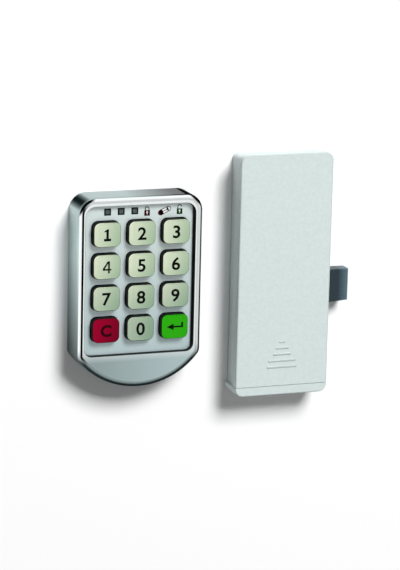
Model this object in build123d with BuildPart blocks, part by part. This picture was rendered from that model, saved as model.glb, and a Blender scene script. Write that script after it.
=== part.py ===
from build123d import *

import math
import os

# Electronic cabinet lock: a keypad unit for the outside of a door and a bolt unit for the inside.
# Both units lie face up with their mounting faces on Z = 0, and each is drawn about its own centre.
keypad_x, keypad_y = -40.9, 1.9  # middle of the keypad, close to the middle of its keys
lock_x, lock_y = 35.5, 0.0  # centre of the bolt unit

# Keypad housing, a cast shell with a straight top and an arc for its foot
housing_half_width = 32.1
housing_top, housing_tip = 42.0, -54.6
foot_radius = 39.8
top_corner, side_corner, least_corner = 8.5, 4.0, 0.8
housing_wall = 2.2
rim_height = 16.5
edge_round = 1.6
groove_inset, groove_width, groove_depth = 1.75, 1.1, 0.4

# Recess for the face plate, and the web under it
recess_half_width = 28.6
recess_top, recess_bottom = 37.8, -37.8
recess_top_corner, recess_bottom_corner = 5.2, 4.2
plate_gap = 0.25
plate_height = 13.7  # top face of the plate
plate_thickness = 1.2
web_thickness = 1.5
web_top = plate_height - plate_thickness
web_bottom = web_top - web_thickness

# Keys, three across and four down
key_rows = [["1", "2", "3"], ["4", "5", "6"], ["7", "8", "9"], ["c", "0", "enter"]]
key_pitch_x, key_pitch_y = 17.85, 16.04
key_grid_x, key_grid_y = 0.3, -0.35  # middle of the twelve keys
key_width, key_length, key_corner = 13.85, 12.3, 3.0
key_height = 17.7
key_gap = 0.3
key_edge = 0.6
key_wall, key_roof = 1.3, 2.2
key_stem_radius = 2.0
key_stem_top = key_height - 1.0
flange_width, flange_length, flange_thickness = 16.4, 15.0, 0.9
flange_play = 0.05
flange_top = web_bottom - flange_play
flange_bottom = flange_top - flange_thickness

# Status windows above the keys, light pipes over three emitters
window_size, window_room = 3.4, 0.05
window_row = 34.3
window_places = [-16.5, -9.5, -2.5]
window_foot = 1.5  # length below the web
window_stand = 0.1  # length above the plate
light_width, light_length, light_height = 2.8, 2.0, 1.2

# Circuit board, rubber mat and domes behind the keys
board_bottom, board_thickness = 6.0, 1.6
board_top = board_bottom + board_thickness
board_half_width, board_half_length, board_corner = 27.5, 37.3, 3.5
board_screw_x, board_screw_y = 25.0, 34.6
board_boss_radius, board_boss_bore_depth = 2.2, 3.0
mat_half_width, mat_half_length, mat_thickness, mat_corner = 24.8, 32.0, 0.6, 2.0
mat_top = board_top + mat_thickness
dome_base_radius, dome_top_radius, dome_skin = 4.6, 3.0, 0.6
dome_rise = flange_bottom - flange_play - mat_top

# Parts on the underside of the keypad board
controller_place, controller_size, controller_height = (13.0, 10.0), 9.0, 1.4
driver_place, driver_width, driver_length, driver_height = (14.0, -3.0), 5.0, 4.0, 1.1
small_part_width, small_part_length, small_part_height = 1.6, 3.2, 0.8
small_part_places = [(-19.0, 4.0), (-15.5, 4.0), (-12.0, 4.0)]
buzzer_place, buzzer_radius, buzzer_bottom = (-14.0, -12.0), 4.6, 2.8
buzzer_port_radius, buzzer_port_depth = 0.8, 1.5

# Cable sockets of both boards, with four pins
socket_width, socket_length, socket_height = 9.8, 5.6, 3.1
socket_wall, socket_floor = 0.7, 0.9
pin_width, pin_pitch, pin_count = 0.5, 2.0, 4
pin_gap = 0.5  # from a pin's tip to the socket's mouth
keypad_socket_place = (0.0, 8.6)
lock_socket_place, lock_socket_height = (9.5, -41.5), 5.8

# Screws for plastic, and the room round them
small_screw_radius, small_head_radius, small_head_height = 1.0, 1.9, 1.2
screw_hole_room = 0.05
clearance_hole_radius = 1.2

# Back plate with its screws, threaded inserts and foam seal
seal_thickness = 0.8
back_plate_thickness, back_plate_play = 1.6, 0.15
back_plate_top = seal_thickness + back_plate_thickness
back_screw_x, back_screw_y, back_screw_length = 28.0, 18.0, 6.0
back_boss_radius, back_boss_length, back_boss_bore_depth = 2.4, 6.2, 5.0
back_boss_notch_radius = 2.7  # cut out of the board where a boss passes it
sunk_head_height, sunk_head_room = 0.9, 0.1
driver_slot_width, driver_slot_length, driver_slot_depth = 0.6, 2.2, 0.4
insert_spacing = 48.0
insert_radius, insert_bore, insert_top = 3.5, 1.65, 5.6
cable_hole_radius = 5.0
seal_room = 0.5  # how far the seal's holes stand back from the screw heads
insert_room = 0.1  # and from the inserts

# Bolt unit: a base tray, a sliding cover and a fixed strip at the foot
case_half_width, case_half_length, case_height = 24.75, 61.9, 16.5
case_corner, case_edge = 4.0, 0.7
strip_length = 4.6
strip_start = strip_length - case_half_length  # Y of the seam
strip_wall = 1.7
seam_gap = 0.1
cover_wall, skirt_wall, skirt_bottom = 1.5, 1.3, 12.0
cover_start = strip_start + seam_gap
cover_travel = 10.0
base_half_width, base_top_end, base_corner = 23.25, 60.4, 2.5
base_wall, base_floor, base_height = 1.6, 1.5, 14.6
base_inner = base_half_width - base_wall
base_inner_end = base_top_end - base_wall

# Grip lines on the cover, as their Y and length, from the tip of the arrow down
grip_lines = [(-33.6, 3.3), (-36.8, 7.0), (-40.0, 9.9), (-43.4, 14.9), (-46.6, 16.1)]
grip_line_width, grip_line_height, grip_line_corner = 0.9, 0.3, 0.44

# Hooks of the cover and their grooves in the base
hook_rows = [-30.0, 30.0]
hook_length, hook_low, hook_high, hook_reach = 8.0, 12.95, 13.85, 0.65
hook_room = 0.2

# Bolt with its tail
bolt_centre_y, bolt_width = -8.6, 17.4
bolt_low_y = bolt_centre_y - bolt_width / 2
bolt_high_y = bolt_centre_y + bolt_width / 2
bolt_low, bolt_high = 2.5, 10.0
bolt_tip, bolt_throw = 37.5, 12.5
bolt_taper, bolt_edge = 1.1, 0.5
bolt_room = 0.3
tail_end, tail_high = -8.5, 4.2
tail_low_y, tail_high_y = -17.3, -6.0

# Rack and pinion, with involute flanks of 20 degrees
gear_module, pinion_teeth = 0.6, 12
pressure_angle = math.radians(20)
dedendum = 1.25 * gear_module
tooth_play = 0.08
tooth_pitch = math.pi * gear_module
pinion_x, pinion_z = -6.0, 9.4
pinion_low_y, pinion_high_y = -15.5, -10.5
pinion_pitch_radius = gear_module * pinion_teeth / 2
pinion_bore = 1.55
rack_line = pinion_z - pinion_pitch_radius
rack_addendum = 0.42
rack_low_y, rack_high_y = -16.0, -10.0
rack_start, rack_end = -8.5, pinion_x + bolt_throw + 3.9
rack_foot = 0.8
heel_room = 0.8  # between the drawn-back head and the pinion
bolt_heel = pinion_x + pinion_pitch_radius + gear_module + bolt_throw + heel_room
rivet_places = [(9.2, -8.0), (-6.8, -8.0)]
rivet_radius, rivet_head_radius, rivet_head_height, rivet_hole_room = 1.0, 1.7, 0.6, 0.05

# Gear motor lying along Y behind the pinion, in its cradle
gearbox_front, gearbox_length, gearbox_corner = -18.0, 9.0, 0.8
motor_width, motor_height, motor_length = 12.0, 10.0, 15.0
motor_back = gearbox_front - gearbox_length - motor_length
end_cap_length, end_cap_step = 1.2, 0.3
end_cap_back = motor_back - end_cap_length
terminal_x, terminal_width, terminal_height, terminal_length = 3.5, 0.5, 1.8, 1.4
shaft_radius, shaft_room, shaft_overhang = 1.5, 0.06, 0.8
shaft_seat, shaft_hole_depth = 2.0, 2.5  # inside the gearbox
cradle_wall, cradle_top, cradle_play = 2.0, 11.0, 0.2

# Battery bay for four AAA cells lying along Y, with leaf springs at their feet
cell_radius, cell_length, cell_pitch, cell_count = 5.25, 44.5, 10.7, 4
cell_edge = 0.35
nub_radius, nub_length = 1.9, 0.8
bay_start, bay_end, bay_wall, bay_wall_height = 8.2, 57.4, 1.2, 12.0
cell_height = 7.85
contact_thickness, contact_gap = 0.3, 0.1
contact_half_width, contact_low, contact_height = 3.5, 3.5, 8.0
spring_half_width = 2.5
spring_room = bay_end - bay_start - contact_thickness - contact_gap - cell_length
spring_leaf = [(0.15, 3.4), (0.15, 11.6), (spring_room - 0.35, 7.9), (1.6, 4.4)]  # distance from wall, Z

# Solder tabs beside the outer cells, and the notches that their leads pass the bay wall by
tab_inner, tab_outer = 17.5, 21.3
tab_low, tab_high = 11.0, 13.2
notch_inner, notch_outer, notch_low = 20.2, 21.6, 11.6

# Fixing holes of the base, guides of the bolt and circuit board
fixing_x, fixing_y, fixing_radius, countersink_radius = 10.7, 50.0, 2.1, 3.2
lock_cable_y = -50.0
runner_start, runner_width, runner_inset, runner_gap = -20.0, 1.6, 2.0, 0.1
guide_thickness, guide_height, short_guide_start = 3.0, 10.4, 3.2
guide_screw_x, guide_screw_depth = 17.0, 4.0
guide_plate_half_width, guide_plate_thickness = 4.0, 1.2
window_lip = 1.0  # how far the bolt's window is cut past both faces of the wall
lock_board_low, lock_board_thickness = 3.5, 1.6
lock_board_top = lock_board_low + lock_board_thickness
lock_board_corners = [(3.5, -45.0), (21.0, -22.0)]
board_post_places = [(6.0, -24.5), (18.5, -42.5)]
board_post_radius, board_screw_gap = 2.2, 0.2
lock_chip_place, lock_chip_size, lock_chip_height = (15.5, -27.5), 7.0, 1.3
capacitor_place, capacitor_radius, capacitor_height = (7.5, -31.0), 3.15, 5.6
resistor_places = [(12.0, -35.0), (14.5, -35.0), (17.0, -35.0)]
resistor_width, resistor_length, resistor_height = 1.2, 2.4, 0.8
switch_corners, switch_height = [(-20.8, -25.5), (-14.8, -19.6)], 4.5
plunger_x, plunger_z, plunger_radius, plunger_length = -17.8, 3.6, 0.8, 1.6

# Leads from the motor and from the outer cells to the circuit board, as points of the bolt unit
lead_radius, lead_bend = 0.45, 1.3
lead_end = lock_board_top
terminal_tip = end_cap_back - terminal_length
motor_lead_routes = [
    [(pinion_x + terminal_x, terminal_tip, pinion_z), (pinion_x + terminal_x, -47.4, pinion_z),
     (2.7, -47.4, pinion_z), (2.7, -34.4, pinion_z), (5.4, -34.4, pinion_z), (5.4, -34.4, lead_end)],
    [(pinion_x - terminal_x, terminal_tip, pinion_z), (pinion_x - terminal_x, -48.9, pinion_z),
     (4.1, -48.9, pinion_z), (4.1, -36.6, pinion_z), (4.1, -36.6, lead_end)],
]
battery_lead_routes = [
    [(20.9, bay_start, 12.4), (20.9, -26.0, 12.4), (20.4, -26.0, lead_end)],
    [(-20.9, bay_start, 12.4), (-20.9, 5.2, 12.4), (-20.9, 5.2, 2.6), (19.6, 5.2, 2.6),
     (19.6, 5.2, 12.4), (19.6, -28.5, 12.4), (19.6, -28.5, lead_end)],
]


def keypad(height=0.0):
    """Horizontal plane at a height, centred on the keys."""
    return Plane(origin=(keypad_x, keypad_y, height))


def lock(height=0.0):
    """Horizontal plane at a height, centred on the bolt unit."""
    return Plane(origin=(lock_x, lock_y, height))


def across(y):
    """Upright plane at a Y of the bolt unit, with X across and Z up, looking towards -Y."""
    return Plane(origin=(lock_x, lock_y + y, 0), x_dir=(1, 0, 0), z_dir=(0, -1, 0))


def slab(base, width, length, thickness, at=(0, 0), corner=0.0, mode=Mode.ADD):
    """A flat block standing on a plane, with rounded upright corners."""
    with BuildSketch(base) as face:
        with Locations(at):
            if corner:
                RectangleRounded(width, length, corner)
            else:
                Rectangle(width, length)
    extrude(face.sketch, amount=thickness, mode=mode)


def span(base, low, high, thickness, mode=Mode.ADD):
    """A flat block on a plane between two corners."""
    middle = ((low[0] + high[0]) / 2, (low[1] + high[1]) / 2)
    slab(base, high[0] - low[0], high[1] - low[1], thickness, at=middle, mode=mode)


def rods(base, radius, length, places, mode=Mode.ADD):
    """Round posts or holes standing on a plane."""
    with BuildSketch(base) as face:
        with Locations(*places):
            Circle(radius)
    extrude(face.sketch, amount=length, mode=mode)


def corners(x, y):
    """The four places at plus and minus x and y."""
    return [(x, y), (-x, y), (-x, -y), (x, -y)]


def shield_outline(inset=0.0):
    """Outline of the keypad housing, drawn in by an inset."""
    half = housing_half_width - inset
    top = housing_top - inset
    radius = foot_radius - inset
    centre_y = housing_tip + foot_radius
    side_end = centre_y - math.sqrt(radius**2 - half**2)
    with BuildSketch(Plane.XY) as face:
        with BuildLine():
            Polyline((half, side_end), (half, top), (-half, top), (-half, side_end))
            ThreePointArc((-half, side_end), (0, centre_y - radius), (half, side_end))
        make_face()
        fillet(face.vertices().sort_by(Axis.Y)[2:], top_corner - inset)
        fillet(face.vertices().sort_by(Axis.Y)[:2], max(side_corner - inset, least_corner))
    return face.sketch


def shield(base, thickness, inset=0.0, inner_inset=None, mode=Mode.ADD):
    """A plate with the housing's outline, or a ring of it, standing on a plane."""
    with BuildSketch(base) as face:
        add(shield_outline(inset))
        if inner_inset is not None:
            add(shield_outline(inner_inset), mode=Mode.SUBTRACT)
    extrude(face.sketch, amount=thickness, mode=mode)


def plate(base, thickness, inset=0.0, mode=Mode.ADD):
    """A plate with the outline of the recess, drawn in by an inset, standing on a plane."""
    half = recess_half_width - inset
    top = recess_top - inset
    bottom = recess_bottom + inset
    with BuildSketch(base) as face:
        with Locations((0, (top + bottom) / 2)):
            Rectangle(2 * half, top - bottom)
        fillet(face.vertices().sort_by(Axis.Y)[2:], recess_top_corner - inset)
        fillet(face.vertices().sort_by(Axis.Y)[:2], recess_bottom_corner - inset)
    extrude(face.sketch, amount=thickness, mode=mode)


def key_places():
    """Name and place of every key."""
    return [
        (name, (key_grid_x + (column - 1) * key_pitch_x, key_grid_y + (1.5 - row) * key_pitch_y))
        for row, names in enumerate(key_rows)
        for column, name in enumerate(names)
    ]


def key_openings(base, depth):
    """Holes that the keys stand in."""
    for _, place in key_places():
        slab(base, key_width + 2 * key_gap, key_length + 2 * key_gap, depth, at=place,
             corner=key_corner + key_gap, mode=Mode.SUBTRACT)


def window_openings(base, depth):
    """Square holes for the status windows."""
    for x in window_places:
        slab(base, window_size + 2 * window_room, window_size + 2 * window_room, depth,
             at=(x, window_row), mode=Mode.SUBTRACT)


def cable_socket(base, place, height):
    """An open box that stands on a board, with a row of pins inside. The base is at the board."""
    slab(base, socket_width, socket_length, height, at=place)
    mouth = base.offset(socket_floor)
    slab(mouth, socket_width - 2 * socket_wall, socket_length - 2 * socket_wall, height - socket_floor,
         at=place, mode=Mode.SUBTRACT)
    for index in range(pin_count):
        pin_x = place[0] + (index - (pin_count - 1) / 2) * pin_pitch
        slab(mouth, pin_width, pin_width, height - socket_floor - pin_gap, at=(pin_x, place[1]))


def lead(route):
    """An insulated wire along straight runs joined by arcs, given as points of the bolt unit."""
    with BuildLine() as centre:
        FilletPolyline(*[(lock_x + x, lock_y + y, z) for x, y, z in route], radius=lead_bend)
    with BuildSketch(Plane(origin=centre.line @ 0, z_dir=centre.line % 0)) as section:
        Circle(lead_radius)
    sweep(section.sketch, path=centre.line)


def finish(piece, name):
    """Label a piece and write it to its own file."""
    piece.part.label = name
    export_step(piece.part, f"parts/{name}.step")


os.makedirs("parts", exist_ok=True)

# Keypad housing
crescent_bottom = recess_bottom - housing_wall
board_screw_places = corners(board_screw_x, board_screw_y)
back_screw_places = corners(back_screw_x, back_screw_y)
screw_bore = small_screw_radius + screw_hole_room
with BuildPart() as keypad_housing:
    shield(keypad(), rim_height)
    fillet(keypad_housing.faces().sort_by(Axis.Z)[-1].edges(), edge_round)
    shield(keypad(rim_height - groove_depth), groove_depth, groove_inset, groove_inset + groove_width,
           mode=Mode.SUBTRACT)
    plate(keypad(web_top), rim_height - web_top, mode=Mode.SUBTRACT)
    shield(keypad(), web_bottom, housing_wall, mode=Mode.SUBTRACT)
    with BuildSketch(keypad(web_bottom)) as crescent:
        add(shield_outline(housing_wall))
        with Locations((0, crescent_bottom)):
            Rectangle(2 * housing_half_width, housing_top - housing_tip, align=(Align.CENTER, Align.MIN),
                      mode=Mode.SUBTRACT)
    extrude(amount=rim_height - housing_wall - web_bottom, mode=Mode.SUBTRACT)
    key_openings(keypad(web_bottom), web_thickness)
    window_openings(keypad(web_bottom), web_thickness)
    # Bosses for the board hang from the web, and those for the back plate stand off the side walls
    rods(keypad(board_top), board_boss_radius, web_bottom - board_top, board_screw_places)
    rods(keypad(board_top), screw_bore, board_boss_bore_depth, board_screw_places, mode=Mode.SUBTRACT)
    rods(keypad(back_plate_top), back_boss_radius, back_boss_length, back_screw_places)
    rods(keypad(back_plate_top), screw_bore, back_boss_bore_depth, back_screw_places, mode=Mode.SUBTRACT)
finish(keypad_housing, "keypad_housing")

# Face plate
with BuildPart() as face_plate:
    plate(keypad(web_top), plate_thickness, plate_gap)
    key_openings(keypad(web_top), plate_thickness)
    window_openings(keypad(web_top), plate_thickness)
finish(face_plate, "face_plate")

# Status windows reach through the plate and the web to the lights on the board
with BuildPart() as status_windows:
    for x in window_places:
        slab(keypad(web_bottom - window_foot), window_size, window_size,
             plate_height + window_stand - web_bottom + window_foot, at=(x, window_row))
finish(status_windows, "status_windows")

with BuildPart() as status_lights:
    for x in window_places:
        slab(keypad(board_top), light_width, light_length, light_height, at=(x, window_row))
finish(status_lights, "status_lights")

# Keys, hollow caps with a flange that the web holds down
for key_name, key_place in key_places():
    with BuildPart() as key:
        slab(keypad(flange_top), key_width, key_length, key_height - flange_top, at=key_place,
             corner=key_corner)
        fillet(key.faces().sort_by(Axis.Z)[-1].edges(), key_edge)
        slab(keypad(flange_bottom), flange_width, flange_length, flange_thickness, at=key_place,
             corner=key_corner)
        slab(keypad(flange_bottom), key_width - 2 * key_wall, key_length - 2 * key_wall,
             key_height - key_roof - flange_bottom, at=key_place, corner=key_corner - key_wall,
             mode=Mode.SUBTRACT)
        rods(keypad(flange_bottom), key_stem_radius, key_stem_top - flange_bottom, [key_place])
    finish(key, f"key_{key_name}")

# Rubber mat and the domes on it
dome_places = [place for _, place in key_places()]
with BuildPart() as key_mat:
    slab(keypad(board_top), 2 * mat_half_width, 2 * mat_half_length, mat_thickness, corner=mat_corner)
    rods(keypad(board_top), dome_base_radius - dome_skin, mat_thickness, dome_places, mode=Mode.SUBTRACT)
finish(key_mat, "key_mat")

with BuildPart() as key_domes:
    for x, y in dome_places:
        with Locations((keypad_x + x, keypad_y + y, mat_top)):
            Cone(dome_base_radius, dome_top_radius, dome_rise,
                 align=(Align.CENTER, Align.CENTER, Align.MIN))
            Cone(dome_base_radius - dome_skin, dome_top_radius - dome_skin, dome_rise - dome_skin,
                 align=(Align.CENTER, Align.CENTER, Align.MIN), mode=Mode.SUBTRACT)
finish(key_domes, "key_domes")

# Keypad circuit board, screwed up against the bosses of the housing
with BuildPart() as keypad_board:
    slab(keypad(board_bottom), 2 * board_half_width, 2 * board_half_length, board_thickness,
         corner=board_corner)
    rods(keypad(board_bottom), back_boss_notch_radius, board_thickness, back_screw_places,
         mode=Mode.SUBTRACT)
    rods(keypad(board_bottom), clearance_hole_radius, board_thickness, board_screw_places,
         mode=Mode.SUBTRACT)
finish(keypad_board, "keypad_board")

with BuildPart() as keypad_chips:
    slab(keypad(board_bottom - controller_height), controller_size, controller_size, controller_height,
         at=controller_place)
    slab(keypad(board_bottom - driver_height), driver_width, driver_length, driver_height,
         at=driver_place)
    for place in small_part_places:
        slab(keypad(board_bottom - small_part_height), small_part_width, small_part_length,
             small_part_height, at=place)
finish(keypad_chips, "keypad_chips")

with BuildPart() as buzzer:
    rods(keypad(buzzer_bottom), buzzer_radius, board_bottom - buzzer_bottom, [buzzer_place])
    rods(keypad(buzzer_bottom), buzzer_port_radius, buzzer_port_depth, [buzzer_place],
         mode=Mode.SUBTRACT)
finish(buzzer, "buzzer")

# The keypad's socket hangs under its board, so its base plane looks down
with BuildPart() as keypad_cable_socket:
    board_underside = Plane(origin=(keypad_x, keypad_y, board_bottom), x_dir=(-1, 0, 0), z_dir=(0, 0, -1))
    cable_socket(board_underside, keypad_socket_place, socket_height)
finish(keypad_cable_socket, "keypad_cable_socket")

# Back plate and foam seal, with holes for the inserts, the screws and the cable
insert_places = [(0, insert_spacing / 2), (0, -insert_spacing / 2)]
with BuildPart() as back_plate:
    shield(keypad(seal_thickness), back_plate_thickness, housing_wall + back_plate_play)
    rods(keypad(seal_thickness), insert_radius, back_plate_thickness, insert_places, mode=Mode.SUBTRACT)
    rods(keypad(seal_thickness), cable_hole_radius, back_plate_thickness, [(0, 0)], mode=Mode.SUBTRACT)
    rods(keypad(seal_thickness), clearance_hole_radius, back_plate_thickness, back_screw_places,
         mode=Mode.SUBTRACT)
    rods(keypad(seal_thickness), small_head_radius + sunk_head_room, sunk_head_height, back_screw_places,
         mode=Mode.SUBTRACT)
finish(back_plate, "back_plate")

with BuildPart() as foam_seal:
    shield(keypad(), seal_thickness, housing_wall + back_plate_play)
    rods(keypad(), insert_radius + insert_room, seal_thickness, insert_places, mode=Mode.SUBTRACT)
    rods(keypad(), cable_hole_radius, seal_thickness, [(0, 0)], mode=Mode.SUBTRACT)
    rods(keypad(), small_head_radius + seal_room, seal_thickness, back_screw_places, mode=Mode.SUBTRACT)
finish(foam_seal, "foam_seal")

with BuildPart() as threaded_inserts:
    rods(keypad(), insert_radius, insert_top, insert_places)
    rods(keypad(), insert_bore, insert_top, insert_places, mode=Mode.SUBTRACT)
finish(threaded_inserts, "threaded_inserts")

with BuildPart() as board_screws:
    rods(keypad(board_bottom - small_head_height), small_head_radius, small_head_height,
         board_screw_places)
    rods(keypad(board_bottom), small_screw_radius, board_thickness + board_boss_bore_depth - board_screw_gap,
         board_screw_places)
finish(board_screws, "board_screws")

with BuildPart() as back_plate_screws:
    rods(keypad(seal_thickness), small_head_radius, sunk_head_height, back_screw_places)
    rods(keypad(seal_thickness), small_screw_radius, back_screw_length, back_screw_places)
    for place in back_screw_places:
        slab(keypad(seal_thickness), driver_slot_width, driver_slot_length, driver_slot_depth, at=place,
             mode=Mode.SUBTRACT)
finish(back_plate_screws, "back_plate_screws")

# Base tray of the bolt unit
guide_low_y = bolt_low_y - bolt_room - guide_thickness
guide_high_y = bolt_high_y + bolt_room + guide_thickness
guide_places = [(guide_screw_x, guide_high_y - guide_thickness / 2),
                (guide_screw_x, guide_low_y + guide_thickness / 2)]
fixing_places = corners(fixing_x, fixing_y)
with BuildPart() as lock_base:
    span(lock(), (-base_half_width, -case_half_length + case_corner), (base_half_width, base_top_end),
         base_height)
    fillet(lock_base.edges().filter_by(Axis.Z).sort_by(Axis.Y)[-2:], base_corner)
    with BuildSketch(lock()) as strip:
        with Locations((0, strip_start)):
            Rectangle(2 * case_half_width, strip_length, align=(Align.CENTER, Align.MAX))
        fillet(strip.vertices().sort_by(Axis.Y)[:2], case_corner)
    extrude(amount=case_height)
    strip_edges = lock_base.faces().sort_by(Axis.Z)[-1].edges()
    fillet(strip_edges.filter_by_position(Axis.Y, -case_half_length - seam_gap, strip_start - seam_gap),
           case_edge)
    span(lock(base_floor), (-base_inner, strip_wall - case_half_length), (base_inner, base_inner_end),
         base_height - base_floor, mode=Mode.SUBTRACT)
    # Wall between the mechanism and the cells, and the ledge behind the far contacts
    span(lock(base_floor), (-base_inner, bay_start - bay_wall), (base_inner, bay_start), bay_wall_height)
    span(lock(base_floor), (-base_inner, bay_end), (base_inner, base_inner_end), bay_wall_height)
    for low_x in (-notch_outer, notch_inner):
        span(lock(notch_low), (low_x, bay_start - bay_wall), (low_x + notch_outer - notch_inner, bay_start),
             base_height - notch_low, mode=Mode.SUBTRACT)
    # Cable entry and fixing holes with countersinks
    rods(lock(), cable_hole_radius, base_floor, [(0, lock_cable_y)], mode=Mode.SUBTRACT)
    with Locations(*[(lock_x + x, lock_y + y, base_floor) for x, y in fixing_places]):
        CounterSinkHole(radius=fixing_radius, counter_sink_radius=countersink_radius)
    # Runners under the bolt, guide walls beside it and its window in the side wall
    for y in (bolt_low_y + runner_inset, bolt_high_y - runner_inset):
        span(lock(base_floor), (runner_start, y - runner_width / 2), (base_inner, y + runner_width / 2),
             bolt_low - runner_gap - base_floor)
    span(lock(base_floor), (-base_inner, guide_high_y - guide_thickness), (base_inner, guide_high_y),
         guide_height - base_floor)
    span(lock(base_floor), (short_guide_start, guide_low_y), (base_inner, guide_low_y + guide_thickness),
         guide_height - base_floor)
    span(lock(bolt_low - bolt_room), (base_inner - window_lip, bolt_low_y - bolt_room),
         (base_half_width + window_lip, bolt_high_y + bolt_room), bolt_high - bolt_low + 2 * bolt_room,
         mode=Mode.SUBTRACT)
    rods(lock(guide_height - guide_screw_depth - board_screw_gap), screw_bore,
         guide_screw_depth + board_screw_gap, guide_places, mode=Mode.SUBTRACT)
    # Posts for the circuit board
    rods(lock(base_floor), board_post_radius, lock_board_low - base_floor, board_post_places)
    rods(lock(base_floor), screw_bore, lock_board_low - base_floor, board_post_places, mode=Mode.SUBTRACT)
    # Grooves that the hooks of the cover slide in, with an open mouth at the far end
    groove_depth_x = hook_reach + hook_room
    for low_x in (-base_half_width, base_half_width - groove_depth_x):
        for row in hook_rows:
            near = row - hook_length / 2 - hook_room
            far = row + cover_travel + hook_length / 2 + hook_room
            mouth = row + cover_travel - hook_length / 2 - hook_room
            span(lock(hook_low - hook_room), (low_x, near), (low_x + groove_depth_x, far),
                 hook_high - hook_low + 2 * hook_room, mode=Mode.SUBTRACT)
            span(lock(hook_high), (low_x, mouth), (low_x + groove_depth_x, far), base_height - hook_high,
                 mode=Mode.SUBTRACT)
finish(lock_base, "lock_base")


def cover_outline(base, half, end, corner):
    """Sketch of the cover, open towards the seam, with two rounded far corners."""
    with BuildSketch(base) as face:
        with Locations((0, cover_start)):
            Rectangle(2 * half, end - cover_start, align=(Align.CENTER, Align.MIN))
        fillet(face.vertices().sort_by(Axis.Y)[2:], corner)
    return face.sketch


# Cover, a shallow lid that slides towards the far end
with BuildPart() as battery_cover:
    extrude(cover_outline(lock(skirt_bottom), case_half_width, case_half_length, case_corner),
            amount=case_height - skirt_bottom)
    rim_edges = battery_cover.faces().sort_by(Axis.Z)[-1].edges()
    fillet(rim_edges.filter_by_position(Axis.Y, cover_start + seam_gap, case_half_length + seam_gap),
           case_edge)
    extrude(cover_outline(lock(skirt_bottom), case_half_width - skirt_wall, case_half_length - skirt_wall,
                          case_corner - skirt_wall),
            amount=case_height - cover_wall - skirt_bottom, mode=Mode.SUBTRACT)
    hook_tip = base_half_width - hook_reach
    hook_root = case_half_width - skirt_wall
    for low_x in (-hook_root, hook_tip):
        for row in hook_rows:
            span(lock(hook_low), (low_x, row - hook_length / 2),
                 (low_x + hook_root - hook_tip, row + hook_length / 2), hook_high - hook_low)
    for y, length in grip_lines:
        slab(lock(case_height), length, grip_line_width, grip_line_height, at=(0, y),
             corner=grip_line_corner)
finish(battery_cover, "battery_cover")

# Bolt: a thick head with a bevelled lower edge and a thin tail that carries the rack
with BuildPart() as bolt:
    with BuildSketch(lock(bolt_low)) as head:
        with BuildLine():
            Polyline((bolt_heel, bolt_low_y), (case_half_width, bolt_low_y),
                     (bolt_tip, bolt_low_y + bolt_taper), (bolt_tip, bolt_high_y), (bolt_heel, bolt_high_y),
                     close=True)
        make_face()
    extrude(amount=bolt_high - bolt_low)
    head_edges = bolt.faces().sort_by(Axis.Z)[-1].edges()
    chamfer(head_edges.filter_by_position(Axis.X, lock_x + bolt_heel + 1, lock_x + bolt_tip + 1), bolt_edge)
    span(lock(bolt_low), (tail_end, tail_low_y), (bolt_heel, tail_high_y), tail_high - bolt_low)
    rods(lock(bolt_low), rivet_radius + rivet_hole_room, tail_high - bolt_low, rivet_places,
         mode=Mode.SUBTRACT)
finish(bolt, "bolt")

# Rack on the tail, held by two rivets
gap_top_half = tooth_pitch / 4 + tooth_play / 2 + rack_addendum * math.tan(pressure_angle)
gap_floor_half = tooth_pitch / 4 + tooth_play / 2 - dedendum * math.tan(pressure_angle)
with BuildPart() as bolt_rack:
    span(lock(tail_high), (rack_start, rack_low_y), (rack_end, rack_high_y),
         rack_line + rack_addendum - tail_high)
    span(lock(tail_high), (rack_start, rack_high_y), (rack_end, tail_high_y), rack_foot)
    rods(lock(tail_high), rivet_radius + rivet_hole_room, rack_foot, rivet_places, mode=Mode.SUBTRACT)
    with BuildSketch(across(rack_high_y)) as gaps:
        for index in range(-1, int((rack_end - pinion_x) / tooth_pitch) + 1):
            middle = pinion_x + index * tooth_pitch
            with BuildLine():
                Polyline((middle - gap_top_half, rack_line + rack_addendum),
                         (middle - gap_floor_half, rack_line - dedendum),
                         (middle + gap_floor_half, rack_line - dedendum),
                         (middle + gap_top_half, rack_line + rack_addendum), close=True)
            make_face()
    extrude(amount=rack_high_y - rack_low_y, mode=Mode.SUBTRACT)
finish(bolt_rack, "bolt_rack")

with BuildPart() as rack_rivets:
    rods(lock(bolt_low), rivet_radius, tail_high + rack_foot - bolt_low, rivet_places)
    rods(lock(tail_high + rack_foot), rivet_head_radius, rivet_head_height, rivet_places)
finish(rack_rivets, "rack_rivets")


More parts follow.
